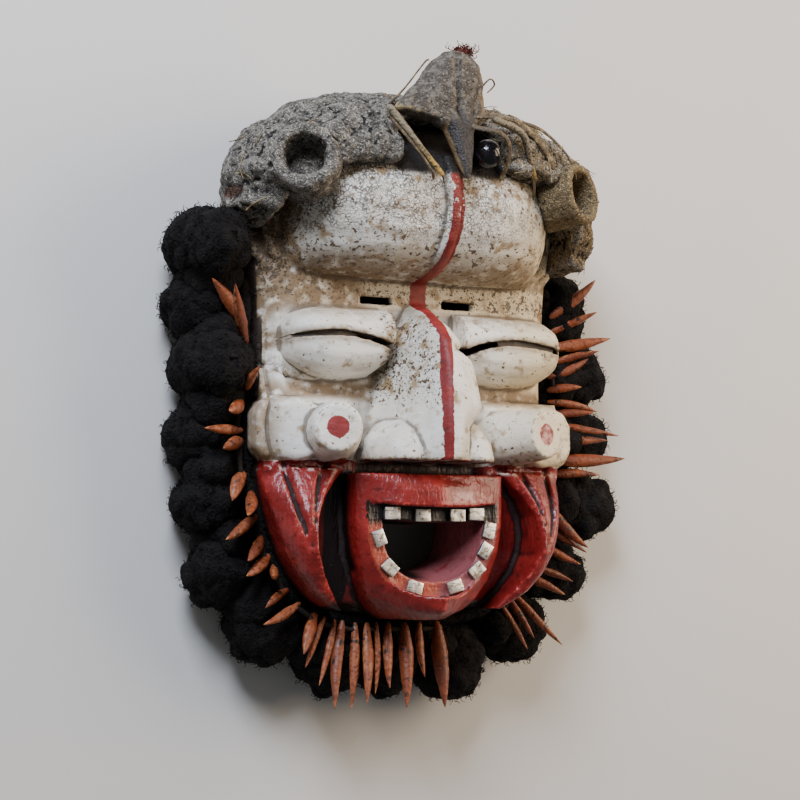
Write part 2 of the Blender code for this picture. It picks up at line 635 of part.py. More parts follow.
def make_teeth():
    """Thin plates that lie on the gum ledge, their outer edge against the bowl's wall."""
    half = MOUTH_HALF_WIDTH * UNIT
    top, bottom = MOUTH_TOP * UNIT, MOUTH_BOTTOM * UNIT
    places = []
    for t in TOP_TEETH:
        sag = MOUTH_SAG * UNIT * (1 - (2 * t - 1) ** 2)
        places.append((Vector((-half + 2 * half * t, top - sag)), Vector((0, -1))))
    for angle in BOWL_TEETH:
        a = math.radians(angle)
        c, s = math.cos(a), math.sin(a)
        edge = Vector((half * math.copysign(abs(c) ** 0.8, c), top - (top - bottom) * abs(s) ** 0.8))
        centre = Vector((0, top - 6 * UNIT))
        places.append((edge, (centre - edge).normalized()))
    back = MOUTH_LEDGE * UNIT + CLEARANCE
    for number, (edge, inward) in enumerate(places, start=1):
        across = Vector((-inward.y, inward.x))
        rings = []
        for z in (back, back + TOOTH_THICKNESS):
            corners = []
            for depth, side in ((0, -1), (0, 1), (1, 1), (1, -1)):
                away = TOOTH_INSET + depth * TOOTH_HEIGHT
                corners.append(edge + inward * away + across * (side * TOOTH_WIDTH / 2))
            rings.append([Vector((*corner, z)) for corner in corners])
        loft(f"tooth_{number:02d}", rings, "tin_plate")


def wood_with_clearance():
    """The wood under the crown, one clearance larger all round, to cut what lies on it."""
    room = shell("crown room", CLEARANCE)
    return boolean(room, "UNION", [forehead(CLEARANCE), keel(CLEARANCE), *temple_ridges(CLEARANCE)])


def bird_rings(grow=0.0):
    rings = []
    for centre, wide, deep in BIRD_RINGS:
        rings.append([point(*centre) + Vector(((wide * UNIT + grow) * math.cos(a), 0,
                                               (deep * UNIT + grow) * math.sin(a)))
                      for a in spread(0, 2 * math.pi * (1 - 1 / BIRD_SIDES), BIRD_SIDES)])
    shift = Vector((0, grow, 0))
    rings[0] = [p - shift for p in rings[0]]
    rings[-1] = [p + shift for p in rings[-1]]
    return rings


def quill(name, places, grow=0.0, finish=None):
    radius = QUILL_RADIUS * UNIT
    path = [point(*place) for place in places]
    radii = [radius * (1.15 - 0.45 * i / (len(path) - 1)) + grow for i in range(len(path))]
    if grow:
        path[0] += (path[0] - path[1]).normalized() * grow
        path[-1] += (path[-1] - path[-2]).normalized() * grow
    return tube(name, path, radii, 8, finish)


def make_cups(room):
    """Two crusted cups that lean out of the crown; what they sit on is cut from their feet."""
    envelopes = []
    for side, place, label in ((-1, CUP_MOUTHS[0], "left"), (1, CUP_MOUTHS[1], "right")):
        frame = splayed(side, (abs(place[0]), place[1], place[2]), CUP_LIFT, CUP_SPLAY)
        r, length = CUP_RADIUS, CUP_LENGTH
        outer = ((r * 0.93, -length), (r * 0.97, -length * 0.4), (r, -3 * MM), (r - 1.2 * MM, 0))
        cup = turned(f"{label}_cup", frame, outer, CUP_SIDES, "clay_crust")
        bore = ((CUP_BORE_RADIUS * 0.8, -CUP_BORE_DEPTH), (CUP_BORE_RADIUS * 0.92, -CUP_BORE_DEPTH * 0.6),
                (CUP_BORE_RADIUS, -2 * MM), (CUP_BORE_RADIUS + 1 * MM, 4 * MM))
        boolean(cup, "DIFFERENCE", [turned(f"{label} cup bore", frame, bore, CUP_SIDES), room])
        ends = ((r * 0.93, -length - CLEARANCE), (r * 0.97, -length * 0.4), (r, -3 * MM), (r, 30 * MM))
        grown = [(radius + CLEARANCE * 1.1, height) for radius, height in ends]
        envelopes.append(turned(f"{label} cup room", frame, grown, CUP_SIDES))
    return envelopes


def column(name, half_width, half_height, middle, low, high):
    """A squarish round column that stands up through the crown."""
    rings = []
    for z in (low, high):
        ring = []
        for a in spread(0, 2 * math.pi * (1 - 1 / COLUMN_SIDES), COLUMN_SIDES):
            c, s = math.cos(a), math.sin(a)
            ring.append(point(half_width * math.copysign(abs(c) ** 0.6, c),
                              middle + half_height * math.copysign(abs(s) ** 0.6, s), z))
        rings.append(ring)
    return loft(name, rings)


def make_crown(room, cup_rooms):
    """The crust over the crown, cut away from everything that it is packed round."""
    rings = []
    for y in (66, 76, 86, 96, 105, 113, 121, 130, 138, 146, 152, 158, 162):
        ring = arch(curve(CRUST_HALF_WIDTH, y) * UNIT, CRUST_BACK * UNIT, curve(CRUST_FRONT, y) * UNIT,
                    curve(CRUST_SQUARENESS, y), y * UNIT,
                    left=curve(CRUST_LEFT_WIDTH, y) * UNIT, foot=CRUST_FOOT)
        for i, p in enumerate(ring[1:-1], start=1):
            lump = 1 + 0.022 * math.sin(2.1 * i + 0.13 * y) + 0.018 * math.sin(0.9 * i - 0.31 * y)
            p.x *= lump
            p.z *= lump
        rings.append(ring)
    crust = loft("crown_crust", rings, "clay_crust")
    bird_room = loft("bird room", bird_rings(CLEARANCE))
    quill_rooms = [quill("left quill room", LEFT_QUILL, CLEARANCE)]
    quill_rooms.append(quill("right quill room", RIGHT_QUILL, CLEARANCE))
    opening = column("crown opening", *CROWN_OPENING)
    niche = column("beak niche", *BEAK_NICHE)
    return boolean(crust, "DIFFERENCE", [room, opening, niche, *cup_rooms, bird_room, *quill_rooms])


def make_bird():
    loft("bird_head", bird_rings(), "horn")
    quill("left_quill", LEFT_QUILL, finish="quill")
    quill("right_quill", RIGHT_QUILL, finish="quill")
    x, y = BULB_PLACE
    level = lobe_level(x, y) * UNIT + BULB_RADIUS * 1.2
    round_ball("dark_bulb", (x * UNIT, y * UNIT, level), (BULB_RADIUS,) * 3, BULB_SEGMENTS, BULB_RINGS,
               "dark_glass")


def side_line(top_left):
    """The wood's outline from a height on its left side, round the chin, to the top of the claws' right end."""
    line = []
    for side, top in ((-1, top_left), (1, BAND_TOP_RIGHT)):
        half = [Vector((side * curve(SHELL_HALF_WIDTH, y), y)) * UNIT
                for y in (*(s for s in SHELL_STATIONS if s < top), top)]
        line += list(reversed(half)) if side < 0 else half
    return line


def outward(line, i):
    """The outward direction at one point of the line, longer where the line turns, to keep an even offset."""
    before = (line[i] - line[max(i - 1, 0)]) if i else (line[1] - line[0])
    after = (line[i + 1] - line[i]) if i + 1 < len(line) else before
    normals = [Vector((d.y, -d.x)).normalized() for d in (before, after)]
    middle = (normals[0] + normals[1]).normalized()
    return middle / max(middle.dot(normals[0]), 0.5)


def offset_line(line, distance):
    return [p + outward(line, i) * distance for i, p in enumerate(line)]


def along_line(line, place):
    """The point and the outward direction at a distance along the line."""
    for i, (a, b) in enumerate(zip(line, line[1:])):
        length = (b - a).length
        if place <= length or i == len(line) - 2:
            break
        place -= length
    t = place / length
    out = outward(line, i).normalized().lerp(outward(line, i + 1).normalized(), t).normalized()
    return line[i].lerp(line[i + 1], t), out


def band_back(x):
    """The level of the band's back edge: the band climbs from the right side, under the chin, to the left."""
    level, sloped = SLOPE_REACH
    share = max(0, min(1, (abs(x) / UNIT - level) / (sloped - level)))
    return BAND_BACK - math.copysign(BAND_SLOPE * share, x)


def make_band():
    line = side_line(BAND_TOP_LEFT)
    inner = offset_line(line, CLEARANCE)
    outer = offset_line(line, CLEARANCE + BAND_THICKNESS)
    outline = inner + list(reversed(outer))
    rings = [[Vector((p.x, p.y, band_back(p.x) + rise)) for p in outline] for rise in (0, BAND_HEIGHT)]
    return loft("wool_band", rings, "wool")


def claw_stand(here):
    """How far a claw's tie stands off the wood, which is more beside the left cheek's block."""
    beside = here.x < 0 and abs(here.y / UNIT - DRUM_CENTRE[1]) < BLOCK_REACH
    return BLOCK_STAND if beside else CLAW_STAND


def claw(name, root, direction, length, width, bend, finish=None):
    """One carved claw: thin at the tie, fullest at a third, drawn out to a point, and a little bowed."""
    up = Vector((0, 0, 1))
    side = direction.cross(up).normalized()
    path, radii = [], []
    for t, thick in ((0, 0.62), (0.4, 1), (1, 0.12)):
        bow = side * (bend * 4 * t * (1 - t)) + up * (bend * t * t * 0.5)
        path.append(root + direction * (length * t) + bow)
        radii.append(width * thick)
    return tube(name, path, radii, CLAW_SIDES, finish)


def make_claws():
    """Claws threaded in pairs on a cord along the band's front edge: two claws and their cord a node."""
    line = offset_line(side_line(LINE_TOP_LEFT), CLEARANCE)
    rows = [(row, length) for length, table in ((LEFT_CLAW_LENGTH, LEFT_CLAWS), (CHIN_CLAW_LENGTH, CHIN_CLAWS),
                                                (CLAW_LENGTH, RIGHT_CLAWS)) for row in table]
    for number, pair in enumerate(zip(rows[::2], rows[1::2]), start=1):
        roots, pieces = [], []
        for (place, lean, rise, share, thick), length in pair:
            here, out = along_line(line, place * UNIT)
            heading = math.atan2(out.y, out.x) + math.radians(lean)
            flat = math.cos(math.radians(rise))
            direction = Vector((math.cos(heading) * flat, math.sin(heading) * flat, math.sin(math.radians(rise))))
            level = band_back(here.x) + BAND_HEIGHT + CLEARANCE + CLAW_RADIUS
            root = Vector((*(here + out * claw_stand(here)), level))
            roots.append(root + direction * CLAW_RADIUS)
            name, finish = (f"claw {place}", None) if pieces else (f"claws_{number:02d}", "claw_wood")
            pieces.append(claw(name, root, direction, length * share, CLAW_RADIUS * thick,
                               CLAW_BOW * math.sin(place), finish))
        cord = tube(f"cord {number}", roots, [CORD_RADIUS] * 2, CLAW_SIDES)
        boolean(pieces[0], "UNION", [pieces[1], cord])


def make_tufts():
    """Wool tufts side by side round the wood, on the band's outer face and above its left end."""
    line = offset_line(side_line(LINE_TOP_LEFT), CLEARANCE * 2 + BAND_THICKNESS)
    for number, (place, share, along, low, high) in enumerate(TUFTS, start=1):
        here, out = along_line(line, place * UNIT)
        reach = TUFT_REACH * share
        centre = Vector((*(here + out * reach), (low + high) / 2 * UNIT))
        bm = bmesh.new()
        bmesh.ops.create_uvsphere(bm, u_segments=TUFT_SEGMENTS, v_segments=TUFT_RINGS, radius=1)
        turn = Matrix.Rotation(math.atan2(out.y, out.x), 4, "Z")
        for vert in bm.verts:
            x, y, z = vert.co
            vert.co = centre + turn @ Vector((x * reach, y * along * UNIT, z * (high - low) / 2 * UNIT))
        new_object(f"wool_tuft_{number:02d}", mesh_from(bm, "wool tuft"), "wool")


def set_down():
    """Moves the mask so that its origin is under the middle of its whole outline, on the rim's level."""
    bpy.context.view_layer.update()
    graph = bpy.context.evaluated_depsgraph_get()
    shown = [item for item in bpy.data.objects if item.type == "MESH" and not item.hide_render]
    corners = []
    for item in shown:
        mesh = item.evaluated_get(graph).data
        corners += [v.co.copy() for v in mesh.vertices]
    middle = [(min(c[k] for c in corners) + max(c[k] for c in corners)) / 2 for k in (0, 1)]
    root = bpy.data.objects.new("mask", None)
    bpy.context.scene.collection.objects.link(root)
    for item in list(bpy.data.objects):
        if item is not root:
            item.parent = root
    root.location = (-middle[0], -middle[1], 0)
    bpy.context.view_layer.update()


def main():
    clear_scene()
    make_face()
    make_teeth()
    room = wood_with_clearance()
    cup_rooms = make_cups(room)
    make_crown(room, cup_rooms)
    make_bird()
    make_band()
    make_claws()
    make_tufts()
    set_down()


main()
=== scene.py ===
"""Dresses the carved mask: chalk and red paint, a clay crown, black wool, wooden claws and tin teeth.

The mask lies on its back. +X is the viewer's right, +Y runs up the face and +Z comes out of it. The forms
below are worked out in millimetres from the middle of the carving, and the meshes are made in metres.
"""

import itertools
import math

import bmesh
import bpy
import numpy as np
from mathutils import Matrix, Vector


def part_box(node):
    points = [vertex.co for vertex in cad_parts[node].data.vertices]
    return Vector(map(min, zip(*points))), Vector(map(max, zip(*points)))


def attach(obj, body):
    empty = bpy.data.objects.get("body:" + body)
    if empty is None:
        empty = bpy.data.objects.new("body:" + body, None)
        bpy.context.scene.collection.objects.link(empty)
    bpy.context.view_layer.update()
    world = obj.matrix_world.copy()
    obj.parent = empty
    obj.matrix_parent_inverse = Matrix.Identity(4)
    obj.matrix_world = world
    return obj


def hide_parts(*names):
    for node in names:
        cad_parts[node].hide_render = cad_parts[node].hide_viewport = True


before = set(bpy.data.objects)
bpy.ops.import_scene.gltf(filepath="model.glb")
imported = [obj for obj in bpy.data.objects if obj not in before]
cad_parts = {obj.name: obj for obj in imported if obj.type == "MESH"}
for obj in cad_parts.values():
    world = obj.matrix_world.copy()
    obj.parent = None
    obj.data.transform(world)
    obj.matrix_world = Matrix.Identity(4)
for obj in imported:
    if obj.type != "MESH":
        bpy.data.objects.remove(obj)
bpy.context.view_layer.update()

MM = 0.001

# The middle of the carving, found from the face's box and the distance up from its foot
FOOT_TO_MIDDLE = 143.5
face_low, face_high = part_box("wooden_face")
ORIGIN = Vector(((face_low.x + face_high.x) / 2, face_low.y + FOOT_TO_MIDDLE * MM, 0))

# Outlines shared with the solids: half widths up the face, the slits' line across it, and the quills' places
SIDE_HALF_WIDTH = ((-142, 34), (-137, 58), (-124, 74), (-112, 83), (-97, 89), (-81, 94), (-58, 98), (20, 99),
                   (60, 102), (95, 101), (120, 91), (138, 70), (150, 36))
SIDE_STATIONS = (-142, -139, -134, -126, -114, -98, -80, -58, 0, 60, 85, 105, 120, 131, 140, 146, 150)
SLIT_LINE = ((20, 8.5), (38, 14), (56, 16.2), (75, 15), (91, 12.5))
LEFT_QUILL = ((-43, 141, 108), (-29, 121, 115), (-13, 101, 119))
RIGHT_QUILL = ((16, 137, 121), (37, 131, 119), (47, 119, 112), (56, 107, 104))

# The ceiling of the hollow behind the face: stations up the face, and its level at each
HOLLOW_CEILING = ((-140, 45, 62, 90, 115, 138), (43, 45, 63, 83, 79, 40))

# The mouth: its top edge, its depth below that, its half width, and the level and width of its gum ledge
MOUTH_TOP = -78.0
MOUTH_DROP = 53.0
MOUTH_HALF_WIDTH = 41.0
MOUTH_LEDGE = 82.0
LEDGE_WIDTH = 8.5

# Red paint: the stripe's height up the face, middle and half width, the jaw's edge and the cheeks' dots
STRIPE = ((-55, -3.6, 2.2), (-35, -4.4, 2.4), (-10, -3.8, 2.8), (0, -2.6, 3.0), (15, -0.4, 3.2),
          (30, 0.2, 3.5), (36, 0.4, 5.4), (47, 0.4, 5.4), (51, 0.6, 4.0), (60, 2.0, 4.4), (80, 2.6, 5.0),
          (110, 2.4, 5.0))
PAINT_BORDER = -54.6
DOT_CENTRE = (66.9, -37.8, 96.9)
DOT_RADIUS = 6.1

# The lids' level from the nose outward, and the depth of the slits between them
LID_LEVEL = ((23, 58, 86, 93), (81, 81.5, 78, 68))
SLIT_FLOOR = 4.5

# The left eye's outer end: where the lids start to round off and end, and the level of the wood beside them
EYE_SHOULDER = -57.0
EYE_END = -83.5
BROW_LEVEL = ((-90, -86, -82, -78, -70, -60), (52.4, 55.6, 57.6, 59.2, 60.8, 62.3))

# The sight slots in the band, from the middle line and up the face
SLOT_CENTRE = (26.5, 38.2)

# Finer cuts: the wood left on the nose's right flank and bridge, the depth of the left cheek's groove,
# and how far the mouth's walls come in behind the gum, across and up
FLANK_FILL = 11.0
BRIDGE_FILL = 7.0
GROOVE_DEPTH = 2.2
WALL_DRAW = (9, 7)

# The marks of the knife: their size, depth and seed
KNIFE_MARKS = ((18, 0.26, 3), (8, 0.12, 5), (3, 0.05, 6))

# Fineness of the dressed meshes, in millimetres
FACE_GRID = 1.3
CRUST_GRID = 1.3
CUP_GRID = 0.85
SKULL_GRID = 0.8
WOOL_GRID = 1.6

# Wool: curls on a clump, a loose clump and the band, a curl's length and radius, and a loose clump's size
CURLS_PER_BALL = 340
CURLS_PER_FILL = 120
BAND_CURLS = 1300
CURL_LENGTH = 4.0
CURL_RADIUS = 0.32
FILL_REACH = 11.0
FILL_HALF_LENGTH = 12.0

# Loose wool between the tied clumps: place along the outline, and its lowest and highest level
FILLS = ((28, 8, 58), (62, 8, 56), (99, 8, 56), (136, 8, 50), (171, 8, 49), (205, 8, 48), (242, 8, 45),
         (278, 8, 43), (313, 8, 42), (350, 8, 43), (387, 8, 42), (423, 8, 44), (460, 8, 44), (497, 8, 44),
         (533, 8, 44), (545, 14, 42))

# Claws and their band, as in the solids: levels, lengths and thickness
CLEARANCE = 0.4
LINE_TOP_LEFT = 78
BAND_TOP_RIGHT = 56
BAND_BACK = 23.0
BAND_SLOPE = 6.0
BAND_HEIGHT = 20.0
SLOPE_REACH = (26, 75)
LEFT_CLAW_LENGTH = 27.0
CHIN_CLAW_LENGTH = 50.0
CLAW_LENGTH = 40.0
CLAW_RADIUS = 4.1
CLAW_STAND = 3.2
BLOCK_STAND = 6.4
BLOCK_LEVEL = -38.0
BLOCK_REACH = 23
CLAW_BOW = 1.2
CLAW_HOOK = 1.2
CORD_RADIUS = 1.3

# A claw's thickness from its neck to its point, as shares of its length and of its radius
CLAW_PROFILE = ((0, 0.04, 0.12, 0.36, 0.62, 0.84, 0.95, 1), (0.3, 0.58, 0.68, 1.0, 0.86, 0.5, 0.22, 0.05))
CLAW_RINGS = 17
CLAW_SIDES = 12

# Each claw's place along the wood's outline, lean and rise in degrees, and shares of length and thickness
LEFT_CLAWS = (
    (59, -49, 13, 1.32, 1.02), (68, -59, 41, 1.70, 0.98), (78, -55, 15, 0.45, 0.83),
    (93, -81, 62, 0.84, 0.78), (100, 26, 46, 0.87, 0.98), (116, -1, 24, 1.11, 0.73),
    (122, 11, 42, 0.99, 0.93), (139, 52, 26, 0.80, 0.98), (150, 38, 54, 1.20, 0.88),
    (163, 19, 21, 1.04, 0.78), (175, 25, 34, 0.87, 0.80), (186, 10, 27, 0.88, 0.85),
    (193, 1, 63, 0.83, 0.83), (208, -14, 22, 0.80, 0.68), (218, -29, 16, 1.09, 0.66),
)
CHIN_CLAWS = (
    (229, -4, 25, 0.57, 1.02), (235, -9, 11, 0.64, 0.59), (242, -7, 13, 0.79, 0.59),
    (247, -5, 14, 1.02, 0.85), (255, -1, 9, 0.97, 0.76), (263, -6, 18, 0.95, 0.93),
    (269, -2, 10, 0.82, 0.56), (277, -7, 15, 0.77, 0.80), (287, -7, 15, 1.00, 1.07),
    (297, -3, 11, 0.64, 0.68), (308, -3, 14, 1.00, 1.15),
)
RIGHT_CLAWS = (
    (355, -5, 9, 0.82, 0.49), (361, -13, 17, 0.76, 0.59), (365, -4, 10, 1.16, 0.59),
    (376, 7, 17, 0.75, 0.73), (382, 12, 9, 0.82, 0.63), (398, -7, 16, 0.80, 0.71),
    (408, -11, 8, 0.91, 0.68), (422, -38, 15, 0.97, 0.93), (438, 7, 12, 0.87, 0.71),
    (448, 6, 10, 1.29, 1.10), (458, 7, 7, 1.04, 0.78), (469, -5, 15, 1.18, 0.59),
    (475, 5, 15, 0.76, 0.63), (483, -4, 5, 0.88, 0.68), (490, 12, 19, 0.55, 0.73),
    (498, 25, 10, 0.74, 0.73), (506, 19, 15, 0.87, 0.63), (516, 14, 10, 1.05, 0.95),
    (525, 27, 17, 0.85, 0.71), (535, 42, 12, 0.96, 0.90),
)

# Straws on the crown: how many, and their length
STRAWS = 120
STRAW_LENGTH = (7, 20)

# The tuft of down on the skull: its middle and its number of strands
DOWN_PLACE = (6.0, 175.5, 106)
DOWN_STRANDS = 220

# The teeth's rounded edges, and how much larger than the solids they are
TOOTH_EDGE = 0.3
TOOTH_STRETCH = (1.12, 1.05, 1)

# Dried strips and stalks round the beak: thickness, breadth as a share of it, and the places each passes
SINEWS = (
    (0.8, 1, (-42, 134, 109), (-32, 119, 116), (-21, 105, 118), (-17, 100, 114)),
    (0.6, 1, (-37, 133, 110), (-26, 117, 117), (-15, 104, 118), (-10, 98, 114)),
    (0.5, 3, (2, 134, 114), (9, 130, 122), (17, 128, 127), (26, 123, 124), (29, 113, 117), (29, 104, 108)),
    (0.6, 1.3, (9, 138, 114), (21, 138, 119), (35, 137, 118), (42, 133, 110)),
    (0.5, 3, (18, 140, 112), (35, 134, 117), (45, 122, 113), (54, 107, 105), (58, 98, 98)),
    (0.5, 4, (24, 141, 110), (46, 135, 112), (64, 121, 107), (74, 105, 100)),
    (0.5, 2, (38, 141, 108), (58, 137, 108), (78, 124, 105), (86, 112, 101)),
    (0.6, 1, (-38, 142, 96), (-30, 152, 103), (-18, 168, 105), (-12, 172, 100)),
    (0.5, 1, (16, 155, 106), (21, 162, 111), (26, 160, 108), (22, 155, 106)),
)


# Numbers and noise

def curve(stations, where):
    """The smooth value of an outline at one station: cubic between its stations, with no overshoot."""
    where = min(max(where, stations[0][0]), stations[-1][0])
    steps = [(b[1] - a[1]) / (b[0] - a[0]) for a, b in zip(stations, stations[1:])]

    def slope(i):
        if i == 0 or i == len(steps):
            return steps[min(i, len(steps) - 1)]
        before, after = steps[i - 1], steps[i]
        return 0.0 if before * after <= 0 else 2 * before * after / (before + after)

    for i, ((start, low), (end, high)) in enumerate(zip(stations, stations[1:])):
        if where <= end:
            break
    span = end - start
    t = (where - start) / span
    return (low * (1 + 2 * t) * (1 - t) ** 2 + high * t * t * (3 - 2 * t)
            + slope(i) * span * t * (1 - t) ** 2 - slope(i + 1) * span * t * t * (1 - t))


def curve_values(stations, places):
    """The outline's value at each of many places, read off a fine table."""
    fine = np.linspace(stations[0][0], stations[-1][0], 400)
    return np.interp(places, fine, [curve(stations, s) for s in fine])


def ease(low, high, values):
    """0 at low, 1 at high, and smooth between."""
    t = np.clip((values - low) / (high - low), 0, 1)
    return t * t * (3 - 2 * t)


def between(values, start, low, high, end):
    """1 from low to high, and falling smoothly to 0 at start and end."""
    return ease(start, low, values) * ease(end, high, values)


def unit(vectors):
    """The same directions with a length of 1."""
    return vectors / np.maximum(np.linalg.norm(vectors, axis=-1, keepdims=True), 1e-9)


def hashed(cells, seed):
    """A repeatable number from 0 to 1 for each whole-numbered cell."""
    mixed = cells[..., 0] * 73856093 ^ cells[..., 1] * 19349663 ^ cells[..., 2] * 83492791
    mixed ^= (seed + 1) * 961748941
    mixed = (mixed ^ (mixed >> 15)) * 2246822519 & 0xFFFFFFFF
    mixed = (mixed ^ (mixed >> 13)) * 3266489917 & 0xFFFFFFFF
    return ((mixed >> 8) & 0xFFFF) / 65535.0


def swells(points, size, seed):
    """Soft noise from -1 to 1 with swells of about one size."""
    places = points / size
    base = np.floor(places).astype(np.int64)
    t = places - base
    t = t * t * (3 - 2 * t)
    total = np.zeros(len(points))
    for corner in itertools.product((0, 1), repeat=3):
        weight = np.prod(np.where(corner, t, 1 - t), axis=1)
        total += weight * hashed(base + np.array(corner), seed)
    return total * 2 - 1


def wander(points, size, seed):
    """The same soft noise in all three directions."""
    return np.stack([swells(points, size, seed + k) for k in range(3)], axis=1)


def pebbles(points, size, seed):
    """Round grains of one size: 1 on top of each grain, falling to 0 in the gaps between them."""
    places = points / size
    base = np.floor(places).astype(np.int64)
    nearest = np.full(len(points), 9.0)
    for corner in itertools.product((-1, 0, 1), repeat=3):
        cell = base + np.array(corner)
        centre = cell + np.stack([hashed(cell, seed + k) for k in range(3)], axis=1)
        nearest = np.minimum(nearest, ((places - centre) ** 2).sum(axis=1))
    return np.clip(1 - nearest, 0, 1)


# Meshes

def placed(name, data):
    """A new object in the scene."""
    made = bpy.data.objects.new(name, data)
    bpy.context.scene.collection.objects.link(made)
    return made


def welded(name):
    """A solid's mesh with its doubled points joined, open for shaping."""
    made = bmesh.new()
    made.from_mesh(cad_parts[name].data)
    bmesh.ops.remove_doubles(made, verts=made.verts, dist=1e-6)
    return made


def in_order(items, place_of):
    """Puts the points or the faces of a mesh open for shaping in the order of their places."""
    for rank, item in enumerate(sorted(items, key=lambda item: tuple(place_of(item)))):
        item.index = rank
    items.sort()


def finished(made, name):
    """The shaped mesh, closed for shaping and smooth shaded."""
    mesh = bpy.data.meshes.new(name)
    made.to_mesh(mesh)
    made.free()
    mesh.shade_smooth()
    return mesh


def in_frame(points):
    """Points in millimetres from the carving's middle, as metres in the frame."""
    return points * MM + np.array(ORIGIN)


def on_carving(points):
    """Points of the frame in metres, as millimetres from the carving's middle."""
    return (points - np.array(ORIGIN)) / MM


def remeshed(name, grid):
    """A solid's form as an even fine mesh laid on its surface: points in millimetres, and square faces."""
    form = placed("form", finished(welded(name), "form"))
    fine = form.modifiers.new("fine", "REMESH")
    fine.mode = "VOXEL"
    fine.voxel_size = grid * MM
    laid = form.modifiers.new("laid", "SHRINKWRAP")
    laid.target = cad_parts[name]
    bpy.context.view_layer.update()
    mesh = bpy.data.meshes.new_from_object(form.evaluated_get(bpy.context.evaluated_depsgraph_get()))
    points = np.empty(len(mesh.vertices) * 3)
    mesh.vertices.foreach_get("co", points)
    corners = np.empty(len(mesh.loops), dtype=np.int64)
    mesh.loops.foreach_get("vertex_index", corners)
    bpy.data.objects.remove(form)
    return on_carving(points.reshape(-1, 3)), corners.reshape(-1, 4)


def edges_of(faces):
    pairs = np.concatenate([faces[:, [k, (k + 1) % 4]] for k in range(4)])
    return np.unique(np.sort(pairs, axis=1), axis=0)


def smoothed(values, edges, rounds, share):
    """Each point's values drawn toward its neighbours', by a share each round."""
    count = len(values)
    meeting = np.bincount(edges.ravel(), minlength=count)[:, None]
    share = np.broadcast_to(share, count)[:, None]
    for _ in range(rounds):
        total = np.stack([np.bincount(edges[:, 0], values[edges[:, 1], k], count)
                          + np.bincount(edges[:, 1], values[edges[:, 0], k], count)
                          for k in range(values.shape[1])], axis=1)
        values = values + (total / meeting - values) * share
    return values


def normals_of(points, faces):
    across = np.cross(points[faces[:, 2]] - points[faces[:, 0]], points[faces[:, 3]] - points[faces[:, 1]])
    total = np.zeros_like(points)
    for k in range(3):
        total[:, k] = sum(np.bincount(faces[:, c], across[:, k], len(points)) for c in range(4))
    return unit(total)


def crispness(points, faces, edges):
    """1 along the sharp arrises of a solid, and 0 over its flats and slow curves."""
    spread = smoothed(normals_of(points, faces), edges, 2, 0.6)
    return ease(0.968, 0.91, np.linalg.norm(spread, axis=1))


def hollowness(points, faces, edges, rounds):
    """How far each point lies below its surroundings, in millimetres; bumps are negative."""
    return ((smoothed(points, edges, rounds, 0.5) - points) * normals_of(points, faces)).sum(axis=1)


def mesh_of(name, points, faces):
    """A smooth shaded mesh of square faces, from points in millimetres."""
    mesh = bpy.data.meshes.new(name)
    mesh.vertices.add(len(points))
    mesh.vertices.foreach_set("co", in_frame(points).ravel())
    mesh.loops.add(len(faces) * 4)
    mesh.loops.foreach_set("vertex_index", faces.ravel())
    mesh.polygons.add(len(faces))
    mesh.polygons.foreach_set("loop_start", np.arange(len(faces)) * 4)
    mesh.update(calc_edges=True)
    mesh.shade_smooth()
    return mesh


def part_of(points, faces, chosen):
    """The chosen faces alone, their points, and where those points were in the whole."""
    kept, faces = np.unique(faces[chosen], return_inverse=True)
    return points[kept], faces.reshape(-1, 4), kept


def paint(mesh, **layers):
    """Writes each layer's values on the mesh's points for its material to read."""
    for name, values in layers.items():
        layer = mesh.attributes.new(name, "FLOAT", "POINT")
        layer.data.foreach_set("value", np.asarray(values, dtype=np.float32))


def piece(name, mesh, finish, slot, *nodes):
    """A finished piece on the mask, which stands for the named solids."""
    made = placed(name, mesh)
    mesh.materials.append(finish)
    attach(made, "root")
    if nodes:
        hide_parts(*nodes)


def joined_parts(parts):
    """Several sets of points and faces as one."""
    start, points, faces = 0, [], []
    for part_points, part_faces in parts:
        points.append(part_points)
        faces.append(part_faces + start)
        start += len(part_points)
    return np.concatenate(points), np.concatenate(faces)


def tubes(centres, radii, sides, across, over):
    """Thin tubes, one per row of centres: radii per ring, and two directions across each tube."""
    count, rings = centres.shape[:2]
    angles = np.arange(sides) * 2 * math.pi / sides
    spokes = (across[:, :, None, :] * np.cos(angles)[None, None, :, None]
              + over[:, :, None, :] * np.sin(angles)[None, None, :, None])
    points = (centres[:, :, None, :] + spokes * radii[:, :, None, None]).reshape(-1, 3)
    i, j, k = np.meshgrid(np.arange(count), np.arange(rings - 1), np.arange(sides), indexing="ij")
    here = (i * rings + j) * sides + k
    beside = (i * rings + j) * sides + (k + 1) % sides
    faces = np.stack([here, beside, beside + sides, here + sides], axis=-1).reshape(-1, 4)
    return points, faces


def tube_frames(centres):
    """Two directions across each tube at each ring."""
    along = unit(np.gradient(centres, axis=1))
    up = np.where(np.abs(along[:, :1, 2:]) < 0.9, np.array([0.0, 0, 1]), np.array([1.0, 0, 0]))
    across = unit(np.cross(along, np.broadcast_to(up, along.shape)))
    return across, np.cross(along, across)


def smooth_path(places, rings):
    """An even smooth line through a few places."""
    places = np.array(places, dtype=float)
    padded = np.concatenate([2 * places[:1] - places[1:2], places, 2 * places[-1:] - places[-2:-1]])
    line = []
    for where in np.linspace(0, len(places) - 1, rings):
        i = min(int(where), len(places) - 2)
        t = where - i
        a, b, c, d = padded[i:i + 4]
        line.append(0.5 * (2 * b + (c - a) * t + (2 * a - 5 * b + 4 * c - d) * t * t
                           + (3 * b - a - 3 * c + d) * t ** 3))
    return np.array(line)[None]


# Shader nodes

